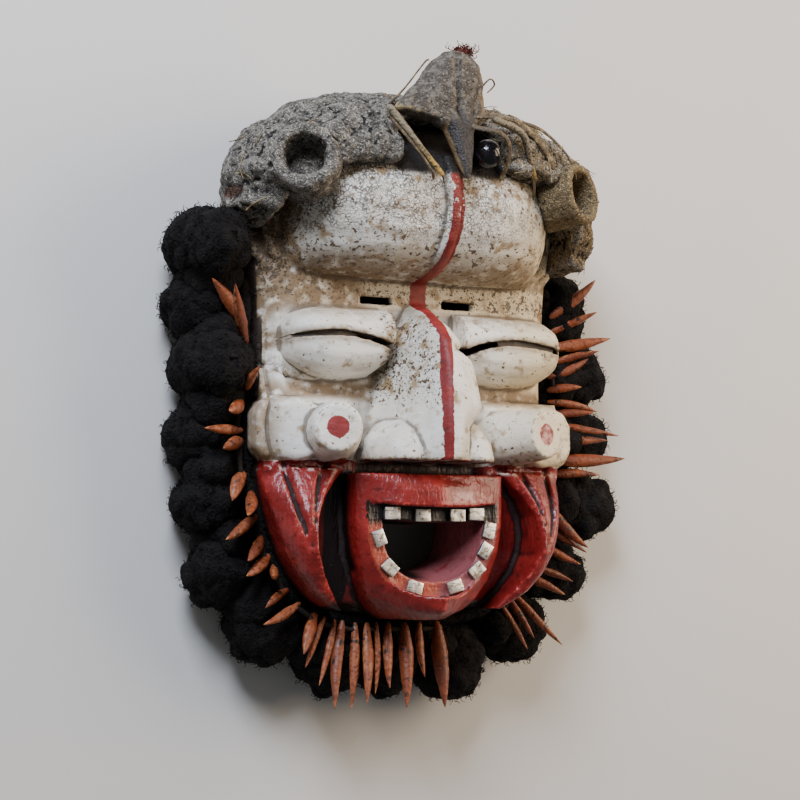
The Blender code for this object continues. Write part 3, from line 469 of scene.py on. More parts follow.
def linear(code):
    """A colour from its sRGB hex code, as the shader's linear values."""
    channels = [int(code[i:i + 2], 16) / 255 for i in (1, 3, 5)]
    return (*(c / 12.92 if c <= 0.04045 else ((c + 0.055) / 1.055) ** 2.4 for c in channels), 1.0)


def add(finish, kind, sockets, output=0, **settings):
    """Adds one shader node and gives one of its outputs; a socket takes a value or another output."""
    made = finish.node_tree.nodes.new("ShaderNode" + kind)
    for name, value in settings.items():
        setattr(made, name, value)
    for name, value in sockets.items():
        if isinstance(value, bpy.types.NodeSocket):
            finish.node_tree.links.new(value, made.inputs[name])
        else:
            made.inputs[name].default_value = value
    return made.outputs[output]


def new_finish(name, **constants):
    """A new material with its shader's plain values."""
    made = bpy.data.materials.new(name)
    made.use_nodes = True
    for key, value in constants.items():
        made.node_tree.nodes["Principled BSDF"].inputs[key.replace("_", " ")].default_value = value
    return made


def blotches(finish, size, low, high, detail=3.0, stretch=(1, 1, 1), within=1.0, more=0.0):
    """Blotches of about one size in millimetres, from 0 to 1; low and high set how much they cover."""
    place = add(finish, "TexCoord", {}, "Object")
    place = add(finish, "Mapping", {"Vector": place, "Scale": stretch})
    field = add(finish, "TexNoise", {"Vector": place, "Scale": 1 / (size * MM), "Detail": detail})
    if more:
        field = add(finish, "Math", {0: more, 1: 0.16, 2: field}, operation="MULTIPLY_ADD")
    return add(finish, "MapRange", {"Value": field, "From Min": low, "From Max": high, "To Max": within},
               interpolation_type="SMOOTHSTEP")


def layer_of(finish, name, low=0, high=1, within=1.0):
    """A painted layer of the mesh, turned to 0 to 1 between two values."""
    layer = add(finish, "Attribute", {}, "Fac", attribute_name=name)
    return add(finish, "MapRange", {"Value": layer, "From Min": low, "From Max": high, "To Max": within},
               interpolation_type="SMOOTHSTEP")


def cover(finish, base, layers, gloss=(), bumps=(), depth=0.3):
    """Lays each colour over the last by its share, then sets the gloss and the fine relief."""
    shader = finish.node_tree.nodes["Principled BSDF"]
    colour = linear(base)
    for share, code in layers:
        colour = add(finish, "Mix", {0: share, 6: colour, 7: linear(code)}, 2, data_type="RGBA")
    finish.node_tree.links.new(colour, shader.inputs["Base Color"])
    rough = shader.inputs["Roughness"].default_value
    for share, other in gloss:
        rough = add(finish, "Mix", {0: share, 2: rough, 3: other})
    if gloss:
        finish.node_tree.links.new(rough, shader.inputs["Roughness"])
    height = 0.0
    for field, rise in bumps:
        height = add(finish, "Math", {0: field, 1: rise, 2: height}, operation="MULTIPLY_ADD")
    if bumps:
        relief = add(finish, "Bump", {"Height": height, "Distance": depth * MM})
        finish.node_tree.links.new(relief, shader.inputs["Normal"])
    return finish


# The stretch of the brush strokes, which run across the face, and the bare wood's grain, which runs up it:
# its size, cover, edge, detail and stretch
BRUSHED = (0.25, 1, 1)
GRAIN = (2.5, 0.35, 0.7, 5, (1, 0.08, 1))


def painted_wood():
    """Light hardwood brushed with chalk white and oil-bound red: matt and crazed above, glossy below."""
    wood = new_finish("chalk and oil painted hardwood", Roughness=0.55)
    place = add(wood, "TexCoord", {}, "Object")
    # The crazing's cells are 2 mm across, as dried chalk paint breaks
    bent = add(wood, "TexNoise", {"Vector": place, "Scale": 1 / (2.5 * MM), "Detail": 3.0}, "Color")
    bent = add(wood, "VectorMath", {0: bent, 1: (2.4 * MM,) * 3, 2: place}, operation="MULTIPLY_ADD")
    cells = add(wood, "TexVoronoi", {"Vector": bent, "Scale": 1 / (2.1 * MM)}, feature="DISTANCE_TO_EDGE")
    crazed = layer_of(wood, "crazed")
    crazing = add(wood, "MapRange", {"Value": cells, "From Min": 0.17, "From Max": 0.02, "To Max": crazed})
    patchy = blotches(wood, 5, 0.4, 0.56, 5, within=crazing)
    soot = layer_of(wood, "soot")
    specks = blotches(wood, 3.0, 0.675, 0.705, 6, more=soot)
    flecks = blotches(wood, 1.2, 0.69, 0.72, 4, more=soot)
    stains = blotches(wood, 8, 0.58, 0.74, 6, more=soot)
    # Brown grime on the white, partly painted shade in creases and under overhangs
    grime_and_shade = layer_of(wood, "grime_and_shade", 0, 1, blotches(wood, 6, 0.22, 0.52, 6))
    rubbed = layer_of(wood, "hollow", -0.6, -1.3, blotches(wood, 2.2, 0.5, 0.58, 5))
    # Brown in every concave place: caked dirt and painted shade together
    dirt_and_shade = layer_of(wood, "hollow", 0.18, 0.9)
    caked_dirt_and_shade = add(wood, "Math", {0: dirt_and_shade, 1: 0.8}, operation="MULTIPLY")
    # The red's edge wavers, and the paint has flaked off in places
    wobble = add(wood, "TexNoise", {"Vector": place, "Scale": 1 / (3.0 * MM), "Detail": 5.0})
    inside = add(wood, "Attribute", {}, "Fac", attribute_name="red")
    ragged = add(wood, "Math", {0: wobble, 1: 2.2, 2: inside}, operation="MULTIPLY_ADD")
    flaked = layer_of(wood, "flaked", 0, 1, blotches(wood, 4.5, 0.52, 0.56, 5))
    kept = add(wood, "Math", {0: 1.0, 1: flaked}, operation="SUBTRACT")
    red = add(wood, "MapRange", {"Value": ragged, "From Min": 0.95, "From Max": 1.25})
    red = add(wood, "Math", {0: red, 1: kept}, operation="MULTIPLY")
    jaw = layer_of(wood, "jaw")
    bare = layer_of(wood, "bare", 0.3, 0.7)
    layers = (
        # The second colour is cream on the band, and on the right side a painted warm light
        (blotches(wood, 24, 0.42, 0.64), "#DCD5C6"), (layer_of(wood, "cream_and_warm_light"), "#DCCBA6"),
        (blotches(wood, 5, 0.5, 0.9, 4, BRUSHED), "#B5AB99"), (layer_of(wood, "soot", 0.3, 1.2), "#A89F8D"),
        (blotches(wood, 1.4, 0.5, 0.66, 5, within=crazed), "#8F887C"), (stains, "#9C8462"),
        (patchy, "#5A5249"), (grime_and_shade, "#826A4C"), (rubbed, "#A18D70"), (specks, "#63523E"),
        (flecks, "#43372B"), (caked_dirt_and_shade, "#5B4C3B"), (red, "#7A1D1A"),
        (blotches(wood, 13, 0.45, 0.65, 4, within=red), "#8F2824"),
        (blotches(wood, 3.0, 0.55, 0.75, 4, (0.3, 1, 1), within=red), "#561412"),
        # Painted shade: near black red in the jaw's grooves and hollows
        (layer_of(wood, "hollow", 0.06, 0.45, jaw), "#230606"),
        (layer_of(wood, "hollow", -0.3, -0.8, blotches(wood, 2.6, 0.5, 0.62, 5, within=jaw)), "#A63B34"),
        # Pale pink on the right dot, and a painted highlight along the upper lip
        (layer_of(wood, "pale", 0, 1, blotches(wood, 4.0, 0.4, 0.6, 5)), "#D9A79D"),
        # Painted shade in the chin's recesses, then the gum's own colour
        (layer_of(wood, "recess_shade"), "#140606"), (layer_of(wood, "gum"), "#9A4330"),
        # Pinkish maroon in the mouth's bowl, lightened as a painted reflection
        (layer_of(wood, "maw", 0, 1, blotches(wood, 6, 0.2, 0.5)), "#8E5052"),
        # Brown-grey slits, partly painted shade, and the niche painted near black as shade
        (layer_of(wood, "slit"), "#4C4136"), (layer_of(wood, "niche_shade"), "#17110E"),
        # Painted shade deep in the openings, then the bare wood
        (layer_of(wood, "dark"), "#0F0B09"), (bare, "#6F5034"),
        (blotches(wood, *GRAIN, within=bare), "#4A3320"), (layer_of(wood, "wall"), "#2B211A"),
    )
    brush = blotches(wood, 3.5, 0.42, 0.66, 4, BRUSHED)
    stroke = blotches(wood, 2.4, 0.35, 0.65, 4, (1, 0.3, 1), within=jaw)
    bumps = ((brush, 0.3), (stroke, 0.6), (crazing, -0.8), (specks, -0.7), (flecks, -0.5),
             (blotches(wood, *GRAIN), 0.1), (flaked, -0.8))
    return cover(wood, "#E9E5DB", layers, ((jaw, 0.32), (dirt_and_shade, 0.8), (bare, 0.8)), bumps, 0.3)


def dry_clay(name, pale, light, middle, dark):
    """Unfired clay with ash and chaff, dried matt: coarse pale grains, painted highlight on lumps, painted
    shade in gaps.
    """
    clay = new_finish(name, Roughness=0.95)
    layers = (
        (blotches(clay, 7, 0.4, 0.62, 5), light), (layer_of(clay, "tan"), "#85714E"),
        # Painted highlight on the lumps' tops, then pale grains
        (layer_of(clay, "hollow", -0.15, -0.9), light), (blotches(clay, 1.1, 0.52, 0.66, within=0.5), pale),
        (blotches(clay, 2.4, 0.53, 0.66, 6, within=0.75), dark),
        (blotches(clay, 1.0, 0.56, 0.66, within=0.5), dark),
        # Painted shade in the hollows, then a rust stain
        (layer_of(clay, "hollow", 0.04, 0.5), dark), (layer_of(clay, "rust"), "#4E2A17"),
    )
    return cover(clay, middle, layers, (), ((blotches(clay, 1.1, 0.4, 0.6), 1.0),), 1.3)


def curled_wool():
    """Black goat wool, tightly curled, matt, with a slight brown where it has faded."""
    wool = new_finish("black curled wool", Roughness=1.0, Specular_IOR_Level=0.2)
    faded = blotches(wool, 5, 0.52, 0.68)
    return cover(wool, "#141212", ((faded, "#201B18"),), (), ((blotches(wool, 1.6, 0.3, 0.7, 4), 1.0),), 1.0)


def oiled_claw_wood():
    """Red-brown wood whittled to claws and oiled: glossy, streaked, and paler where it is rubbed."""
    wood = new_finish("oiled red wood", Roughness=0.42, Specular_IOR_Level=0.4)
    grain = blotches(wood, 2.0, 0.42, 0.66, 5)
    soiled = layer_of(wood, "soiled")
    layers = (
        # A darker tone per claw, with painted shade on the claws on the right
        (layer_of(wood, "shade"), "#5E2813"), (blotches(wood, 9, 0.46, 0.66), "#84401F"), (grain, "#6E331A"),
        (blotches(wood, 5, 0.58, 0.68, 5), "#2E1A12"),
        (layer_of(wood, "ridge", 0.4, 1, blotches(wood, 3, 0.45, 0.65, within=0.7)), "#C57C49"),
        (soiled, "#20150F"),
    )
    return cover(wood, "#9C5A3A", layers, ((soiled, 0.9),), ((grain, 1.0),), 0.15)


def tinned_sheet():
    """Tinned steel sheet snipped into small plates: dull silver, with brown spots and scratches."""
    tin = new_finish("snipped tin sheet", Metallic=1.0, Roughness=0.42)
    stains = blotches(tin, 3.0, 0.54, 0.64, 4)
    scratches = blotches(tin, 0.9, 0.6, 0.66, 2, (0.2, 1, 1))
    return cover(tin, "#D2D3D2", ((stains, "#8B8272"), (scratches, "#7C786F")), ((stains, 0.55),),
                 ((blotches(tin, 4.0, 0.3, 0.7), 1.0),), 0.08)


def dried_skull():
    """Bone and dried skin under grey dust: rough, tan where the ridges are rubbed and dark in the pits."""
    bone = new_finish("dusty bone and dried skin", Roughness=0.8)
    pits = blotches(bone, 1.8, 0.54, 0.6, 4)
    sheath = layer_of(bone, "sheath")
    layers = (
        (blotches(bone, 5, 0.44, 0.62, 5), "#6E675C"), (blotches(bone, 1.4, 0.57, 0.66, 4), "#857C6E"),
        (blotches(bone, 2.0, 0.58, 0.66, 4), "#332D27"), (layer_of(bone, "hollow", -0.12, -0.6), "#9A845E"),
        (layer_of(bone, "tan"), "#8C7450"), (sheath, "#2E2926"), (layer_of(bone, "rim"), "#93784F"),
        (layer_of(bone, "hollow", 0.12, 0.6), "#15110F"),
    )
    return cover(bone, "#494239", layers, ((sheath, 0.45),),
                 ((pits, -0.9), (blotches(bone, 1.2, 0.35, 0.65), 0.6)), 0.6)


def dried_quill():
    """Dry jaw bone and quill, horny and half clear: straw yellow, grey toward the head."""
    quill = new_finish("dried quill", Roughness=0.45)
    layers = (
        (blotches(quill, 7, 0.45, 0.6, 4), "#7C6434"), (layer_of(quill, "grey"), "#776E5C"),
        (blotches(quill, 1.4, 0.56, 0.62), "#3A2A14"),
    )
    return cover(quill, "#AD8A40", layers, (), ((blotches(quill, 1.5, 0.4, 0.6), 1.0),), 0.25)


def dried_sinew():
    """Sinew and stalk dried hard: brown, waxy, pale along the fibres."""
    sinew = new_finish("dried sinew", Roughness=0.55)
    layers = ((blotches(sinew, 4, 0.48, 0.64, 4), "#8A764C"), (blotches(sinew, 1.2, 0.55, 0.63), "#2B2016"))
    return cover(sinew, "#54442D", layers, (), ((blotches(sinew, 1.2, 0.4, 0.6), 1.0),), 0.2)


def glossy_seed():
    """A round black seed polished by handling: near black and mirror-like, with faint scratches."""
    seed = new_finish("polished black seed", Roughness=0.1)
    return cover(seed, "#0A0A0D", ((blotches(seed, 5, 0.5, 0.7), "#1A171C"),),
                 ((blotches(seed, 1.5, 0.52, 0.64), 0.3),))


def straw():
    """Grass straws trodden into the clay: dry, split and pale."""
    stem = new_finish("dry straw", Roughness=0.7)
    return cover(stem, "#8F7C55", ((blotches(stem, 3, 0.45, 0.6), "#5B4C31"),))


def red_down():
    """Red-brown down left on the skull: soft and matt."""
    down = new_finish("red brown down", Roughness=0.9)
    return cover(down, "#6B2318", ((blotches(down, 2, 0.45, 0.6), "#33130E"),))


# The carved face

def in_mouth(x, y, inset):
    """Below 1 inside the mouth's outline, brought in by an inset all round."""
    across = np.abs(x) / (MOUTH_HALF_WIDTH - inset)
    down = np.maximum(MOUTH_TOP - inset - y, 0) / (MOUTH_DROP - 2 * inset)
    return across ** 2.5 + down ** 2.5


def outer_lid(x):
    """The left eye's outer end: the level of the wood beside it, and how much of the lids' height is left."""
    share = np.clip((EYE_SHOULDER - x) / (EYE_SHOULDER - EYE_END), 0, 1)
    return np.interp(x, *BROW_LEVEL), np.sqrt(1 - share ** 2)


def bare_wood(points, normals, edges):
    """The wood that was never painted: the hollow with its rim, and the outer walls behind the wool."""
    x, y, z = points.T
    wide = np.abs(x)
    side = curve_values(SIDE_HALF_WIDTH, y)
    inward = -(normals[:, 0] * x / 100 + normals[:, 1] * y / 150)
    hidden = (z < np.interp(y, *HOLLOW_CEILING)) & (wide < side - 5) & (y > -137) & (y < 145)
    hidden &= (normals[:, 2] < -0.2) | (inward > 0.15)
    bare = smoothed((hidden | (z < 1.2))[:, None] * 1.0, edges, 2, 0.5)[:, 0]
    behind = ease(0, 6, wide - side + 10 + (y < -125) * 90)
    return {"bare": bare, "wall": ease(59, 52, z) * (normals[:, 2] < 0.6) * (bare < 0.5) * behind}


def red_paint(points):
    """How far inside the red each point is, the jaw's share, a pale dot and a painted highlight on the lip;
    the white above.
    """
    x, y, z = points.T
    stations, middles, halves = np.array(STRIPE).T
    stripe = np.interp(y, stations, halves) - np.abs(x - np.interp(y, stations, middles))
    stripe = np.where((y > -57) & (z > 48) & (y < 112), stripe, -6)
    dot = DOT_RADIUS - np.sqrt(((np.stack([np.abs(x), y, z], axis=1) - DOT_CENTRE) ** 2).sum(axis=1))
    jaw = PAINT_BORDER - y + 1.5 * swells(points, 9, 70)
    # A painted highlight along the upper lip's right half
    lip_highlight = ease(22, 10, np.abs(x - 22)) * between(y, -79, -77, -73, -70) * (jaw > 0)
    return {
        "red": np.clip(np.maximum(np.maximum(jaw, stripe), dot), -6, 6),
        "jaw": ease(-0.5, 0.5, jaw),
        "pale": ((x > 40) & (dot > -1)) * 0.6 + lip_highlight * 0.55,
    }, jaw < 0


def dirt_wear_and_painted_light(points, white):
    """On the white: soot, crazing, grime with painted shade in corners; cream with painted warm light; flaked
    paint.
    """
    x, y, _ = points.T
    wide = np.abs(x)
    uneven = 9 * swells(points, 22, 71)
    temple = ease(-77, -86, x) * ease(44, 54, y)
    off_slit = np.abs(y - curve_values(SLIT_LINE, wide))
    soot = (0.14 + 0.12 * ease(0, 40, x) * ease(48, 42, y) + 0.34 * ease(48, 56, y) * ease(84, 66, y + uneven)
            + 0.2 * ease(80, 84, y) + 0.25 * ease(92, 110, y + uneven) + 0.45 * temple
            + 0.4 * between(y, 32, 38, 48, 56)
            + 0.5 * ease(22, 6, np.abs(x + 17)) * between(y, -34, -10, 24, 36))
    # Brown grime with painted shade: in the groove under the eyes, around the slits, below the cheeks, under
    # the forehead's overhang and on the band's left
    grime_and_shade = (ease(80, 98, wide) * 0.7 * (x < 0) + between(y, -24, -16, -13, -6) * ease(24, 36, wide) * 0.9
             + ease(6.5, 2.5, off_slit) * between(wide, 18, 22, 88, 96) * 0.6 + ease(-46, -54, y) * 0.4
             + temple + ease(49.5, 52, y) * ease(68, 55, y + uneven * 0.4) * 0.75
             + ease(-20, -50, x) * between(y, 30, 34, 50, 54) + between(y, 20, 30, 33, 36) * 0.5)
    return {
        "soot": np.clip(soot, 0, 1) * white,
        "grime_and_shade": np.clip(grime_and_shade, 0, 1) * white,
        "crazed": ease(58, 80, y + uneven) * (0.95 - 0.35 * ease(0, 50, x)) * white,
        # Cream on the band, and on the right side a painted warm light
        "cream_and_warm_light": np.clip(ease(20, 80, x) * 0.8 + between(y, 30, 36, 48, 52) * 0.6, 0, 0.85),
        "flaked": between(y, 78, 88, 104, 112) * 0.9 + between(y, -62, -60, -59, -57) * 0.5,
    }


def openings(points):
    """The eyes' slits, the band's slots, the mouth and its gum, the recesses by the chin, and the niche, most
    with painted shade.
    """
    x, y, z = points.T
    wide = np.abs(x)
    brow, roundness = outer_lid(x)
    lid = np.interp(wide, *LID_LEVEL)
    lid = np.where(x < EYE_SHOULDER, brow + (lid - brow) * roundness, lid)
    in_slit = (np.abs(y - curve_values(SLIT_LINE, wide)) < 2.9) & (wide > 20.5) & (wide < 92) & (x > -82)
    in_slot = (np.abs(wide - SLOT_CENTRE[0]) < 10.6) & (np.abs(y - SLOT_CENTRE[1]) < 3.0) & (z < 60.2)
    ledge = (in_mouth(x, y, 0) < 1.08) & (z < MOUTH_LEDGE + 0.8) & (z > MOUTH_LEDGE - 1.5) & (y < -77)
    gum = ledge * ease(-86, -94, y)
    throat = (in_mouth(x, y, LEDGE_WIDTH) < 1.1) & (z < MOUTH_LEDGE - 0.4) & (y < -84)
    # Painted shade: near black deep in the slits' inner ends, inside the slots, down the throat's left side
    # and on the ledge under the upper lip
    dark = np.maximum(in_slit * ease(40, 28, wide) * ease(3, 6, lid - z), in_slot * ease(60.5, 59, z)) * 0.95
    dark += throat * ease(80, 66, z) * ease(12, -8, x) + ledge * ease(-94, -86, y)
    # Painted shade: near black in the recesses beside the chin, less on the right
    recess_shade = np.maximum(between(x, -59.5, -58, -43.5, -42), 0.3 * between(x, 56, 58, 71, 72.5))
    return {
        "gum": gum * ease(15, -5, x),
        # Pinkish maroon in the mouth's bowl and the gum's right half, lightened as a painted reflection
        "maw": np.maximum(throat, gum * ease(-5, 15, x)),
        "recess_shade": (y < -60) * ease(75, 67, z) * (z > 50) * recess_shade,
        # Brown-grey inside the eye slits, partly painted shade
        "slit": in_slit * ease(0.8, 2.0, lid - z),
        # Painted shade: near black in the niche beside the beak
        "niche_shade": ease(103, 109, y + 2 * swells(points, 6, 73)) * ease(40, 32, wide) * (z > 60),
        "dark": np.clip(dark, 0, 1),
    }


def face_layers(points, faces, edges):
    """Where each paint, stain and bare surface lies on the carving, and where shade and highlight are
    painted.
    """
    red, white = red_paint(points)
    # The hollows, which carry painted shade, count for less along the cheeks' lower edge
    cheek_edge = between(points[:, 1], -66, -62, -54, -50) * ease(36, 42, np.abs(points[:, 0]))
    hollow = hollowness(points, faces, edges, 5) * 1.6 + hollowness(points, faces, edges, 50) * 0.35
    return {**bare_wood(points, normals_of(points, faces), edges), **red, **dirt_wear_and_painted_light(points, white),
            **openings(points), "hollow": hollow * (1 - 0.85 * cheek_edge)}


def carved(points):
    """The finer cuts: slits kept shallow and narrow, the left eye's outer end rounded, the nose's right side
    left full, a groove down the left cheek's drum, and the mouth's walls drawn in behind the gum."""
    x, y, z = points.T.copy()
    wide = np.abs(x)
    off = y - curve_values(SLIT_LINE, wide)
    over_eye = (wide > 20) & (wide < 94) & (z > 52)
    y += np.where(over_eye, -0.28 * off * np.exp(-(off / 4) ** 2), 0)
    lid = np.interp(wide, *LID_LEVEL)
    deep = lid - z
    in_slit = (np.abs(off) < 3.4) & over_eye & (deep > 0)
    z += np.where(in_slit, (deep - SLIT_FLOOR * (1 - np.exp(-deep / SLIT_FLOOR))) * ease(26, 36, wide), 0)
    z = np.where((np.abs(off) < 4) & over_eye, z + (lid - 1 - z) * ease(-80.5, -82.5, x), z)
    brow, roundness = outer_lid(x)
    outer_end = (x < EYE_SHOULDER) & (y > -17.5) & (y < 41) & (z > brow)
    z = np.where(outer_end, brow + (z - brow) * roundness, z)
    drawn = outer_end * ease(22, 17, np.where(off > 0, off, -off * 0.6))
    y -= np.where(outer_end, off * (1 - roundness) * 0.55 * drawn, 0)
    wing = 9 * ease(-22, -38, y)
    flank = between(x, 0, 12, 31, 51) * ease(66, 84, z) * ease(14, 2, y) * (FLANK_FILL - wing)
    groove = np.exp(-((x + 96 - 0.012 * (y + 36) ** 2) / 1.7) ** 2) * between(y, -58, -54, -18, -14)
    z -= groove * (z > 40) * GROOVE_DEPTH
    bridge = between(x, 0, 10, 26, 34) * ease(82, 88, z) * between(y, 2, 14, 24, 34) * BRIDGE_FILL
    x += np.where(y > -58, np.maximum(flank, bridge), 0)
    bowl = ease(80, 52, z) * (z > 30) * ease(2.6, 1.3, in_mouth(x, y, LEDGE_WIDTH)) * (y < -80)
    x -= bowl * ease(0, 25, x) * WALL_DRAW[0]
    y += bowl * ease(-105, -125, y) * WALL_DRAW[1]
    return np.stack([x, y, z], axis=1)


def dress_face():
    """The carving with its arrises kept sharp, its finer cuts, the marks of the knife, and its paint."""
    points, faces = remeshed("wooden_face", FACE_GRID)
    edges = edges_of(faces)
    crisp = crispness(points, faces, edges)
    points = carved(smoothed(points, edges, 8, 0.5 * (1 - 0.85 * crisp)))
    points += np.clip(points - smoothed(points, edges, 10, 0.5), -0.8, 0.8) * 0.6
    marks = sum(swells(points, size, seed) * depth for size, depth, seed in KNIFE_MARKS)
    points += normals_of(points, faces) * marks[:, None]
    points[:, 2] = np.maximum(points[:, 2], 0)
    layers = face_layers(points, faces, edges)
    finish = painted_wood()
    back = (layers["bare"][faces] > 0.5).all(axis=1)
    below = (points[faces, 1] < PAINT_BORDER).all(axis=1)
    for name, chosen, nodes in (("painted_face", ~back & ~below, ["wooden_face"]),
                                ("painted_jaw", ~back & below, []), ("bare_wood_hollow", back, [])):
        part_points, part_faces, kept = part_of(points, faces, chosen)
        mesh = mesh_of(name, part_points, part_faces)
        paint(mesh, **{layer: values[kept] for layer, values in layers.items()})
        piece(name, mesh, finish, "painted_wood", *nodes)


# The crusted crown and what is set in it

def crusted(node, grid, swell_height, grain_height, seed):
    """A solid's form with the broad lumps and the grains of what it is made of."""
    points, faces = remeshed(node, grid)
    edges = edges_of(faces)
    points = smoothed(points, edges, 4, 0.5)
    lumps = swells(points, 15, seed) * 0.5 + pebbles(points, 9, seed + 1) - 0.35
    grains = pebbles(points, 4.4, seed + 4) * 0.85 + pebbles(points, 2.5, seed + 8) * 0.6 - 0.5
    grains *= 0.75 + 0.5 * swells(points, 12, seed + 11)
    points += normals_of(points, faces) * (lumps * swell_height + grains * grain_height)[:, None]
    return points, faces, edges


def dress_crust(name, node, clay, *form):
    points, faces, edges = crusted(node, *form)
    x, y = points[:, 0], points[:, 1]
    mesh = mesh_of(name, points, faces)
    paint(mesh, hollow=hollowness(points, faces, edges, 5) * 1.6,
          rust=ease(5, 2, np.hypot(x + 117, y - 93)) * 0.8,
          tan=ease(0, 45, x) * (0.72 + 0.4 * swells(points, 9, 12)))
    piece(name, mesh, clay, "clay_crust", node)
    return points, faces


def dress_crown():
    clay = dry_clay("dry ash clay", "#C2BCAF", "#8E887D", "#5C574F", "#1C1916")
    points, faces = dress_crust("clay_crown", "crown_crust", clay, CRUST_GRID, 2.8, 2.3, 20)
    dress_crust("left_clay_cup", "left_cup", clay, CUP_GRID, 1.8, 1.6, 40)
    brown = dry_clay("brown mud", "#B8A47C", "#947F5B", "#6A553A", "#241B13")
    dress_crust("right_clay_cup", "right_cup", brown, CUP_GRID, 0.5, 0.45, 60)
    scatter_straws(points, faces)


def dress_skull():
    """The bird's head: pitted bone with two creases along it, and a dark horn sheath on its beak."""
    points, faces, edges = crusted("bird_head", SKULL_GRID, 1.0, 0.9, 80)
    x, y, z = points.T
    beak = ease(142, 130, y) * ease(13, 9, np.abs(x))
    points += (smoothed(points, edges, 12, 0.5) - points) * (beak * 0.9)[:, None]
    crease = np.exp(-((x + 1 + 2 * np.sin(y / 11)) / 2.2) ** 2) * between(y, 128, 136, 164, 176)
    crease += 0.7 * np.exp(-((x - 11 - 0.2 * (y - 150)) / 1.6) ** 2) * between(y, 134, 140, 160, 170)
    points[:, 2] -= crease * 2.4 * (normals_of(points, faces)[:, 2] > 0)
    half = np.interp(y, (100, 108, 119, 130), (0.9, 3.4, 6.2, 9))
    rim = beak * ease(0.97, 1.02, np.abs(x) / half) * (z > 104)
    mesh = mesh_of("bird_skull", points, faces)
    paint(mesh, hollow=hollowness(points, faces, edges, 6) * 1.3, sheath=beak, rim=rim * 0.6,
          tan=ease(8, 18, x) * (0.5 + 0.5 * swells(points, 6, 82)) * (1 - beak))
    piece("bird_skull", mesh, dried_skull(), "horn", "bird_head")


def scatter_straws(points, faces):
    """Straws and shreds that lie on the crown's outer side, most of them on the right."""
    rng = np.random.default_rng(7)
    normals = normals_of(points, faces)
    weight = (normals[:, 2] > 0.25) & (points[:, 2] > 55)
    weight = weight * (0.15 + ease(0, 60, points[:, 0]))
    roots = rng.choice(len(points), STRAWS, p=weight / weight.sum())
    out = normals[roots]
    lean = unit(np.cross(out, rng.normal(size=(STRAWS, 3))))
    length = rng.uniform(*STRAW_LENGTH, STRAWS)
    t = np.linspace(0, 1, 7)
    over = np.cross(out, lean)
    centres = (points[roots] + out * 0.5)[:, None] + lean[:, None] * (length[:, None] * (t - 0.5))[..., None]
    centres += over[:, None] * (rng.uniform(-3, 3, STRAWS)[:, None] * np.sin(math.pi * t))[..., None]
    radii = rng.uniform(0.25, 0.55, STRAWS)[:, None] * (1 - 0.5 * t)
    piece("crown_straws", mesh_of("crown_straws", *tubes(centres, radii, 5, *tube_frames(centres))), straw(),
          "clay_crust")


def stalk(places, thick, rings, taper, seed, broad=1):
    """One bent stalk or strip with closed ends and uneven skin."""
    centres = smooth_path(places, rings)
    t = np.linspace(0, 1, rings)
    radii = thick * (1.1 - taper * t) * (1 + 0.08 * np.sin(9 * t + seed))
    radii[[0, -1]] = 0.05
    across, over = tube_frames(centres)
    points, faces = tubes(centres, radii[None], 10, across * broad, over)
    return points + wander(points, 4, seed) * thick * 0.12, faces


def dress_quills():
    finish = dried_quill()
    for side, places, node in (("left", LEFT_QUILL, "left_quill"), ("right", RIGHT_QUILL, "right_quill")):
        points, faces = stalk(places, 2.0, 26, 0.45, 30)
        mesh = mesh_of(f"{side}_dried_quill", points, faces)
        paint(mesh, grey=ease(104, 122, points[:, 1]) * 0.8)
        piece(f"{side}_dried_quill", mesh, finish, "quill", node)
    parts = [stalk(places, thick, 22, 0.3, 31 + i, broad) for i, (thick, broad, *places) in enumerate(SINEWS)]
    piece("dried_sinews", mesh_of("dried_sinews", *joined_parts(parts)), dried_sinew(), "quill")


def dress_down():
    """A tuft of red down at the top of the skull."""
    rng = np.random.default_rng(12)
    roots = np.array(DOWN_PLACE) + rng.normal(0, (3.0, 1.2, 1.6), (DOWN_STRANDS, 3))
    out = np.broadcast_to(np.array([0.1, 0.85, 0.5]), roots.shape)
    piece("red_down_tuft", mesh_of("red_down_tuft", *curls(roots, out, rng, 5.0, 0.1)), red_down(), "horn")


def dress_seed():
    low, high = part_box("dark_bulb")
    made = bmesh.new()
    bmesh.ops.create_icosphere(made, subdivisions=4, radius=(high.x - low.x) / 2)
    bmesh.ops.translate(made, verts=made.verts, vec=(low + high) / 2)
    piece("black_seed", finished(made, "black_seed"), glossy_seed(), "dark_glass", "dark_bulb")


# Teeth

def dress_teeth():
    """Small plates snipped from sheet: their edges rounded over, each a little bent and out of square."""
    tin = tinned_sheet()
    for number in range(1, 12):
        made = welded(f"tooth_{number:02d}")
        bmesh.ops.dissolve_limit(made, angle_limit=0.02, verts=made.verts, edges=made.edges)
        bmesh.ops.bevel(made, geom=made.edges, offset=TOOTH_EDGE * MM, segments=2, profile=0.6,
                        affect="EDGES")
        bmesh.ops.triangulate(made, faces=made.faces)
        bmesh.ops.subdivide_edges(made, edges=made.edges, cuts=2, use_grid_fill=True)
        # The bevel leaves its points and faces in another order each time
        in_order(made.verts, lambda vert: vert.co)
        in_order(made.faces, lambda face: face.calc_center_median())
        places = on_carving(np.array([v.co for v in made.verts]))
        middle = places.mean(axis=0)
        bow = ((places[:, :2] - middle[:2]) ** 2).sum(axis=1) * 0.02 * math.sin(2.3 * number)
        places += wander(places, 5, 50 + number) * (0.25, 0.25, 0.05)
        places[:, 2] += np.clip(bow, -0.4, 0.4)
        for vert, place in zip(made.verts, in_frame(middle + (places - middle) * TOOTH_STRETCH)):
            vert.co = place
        name = f"tin_tooth_{number:02d}"
        piece(name, finished(made, name), tin, "tin_plate", f"tooth_{number:02d}")


# Wool

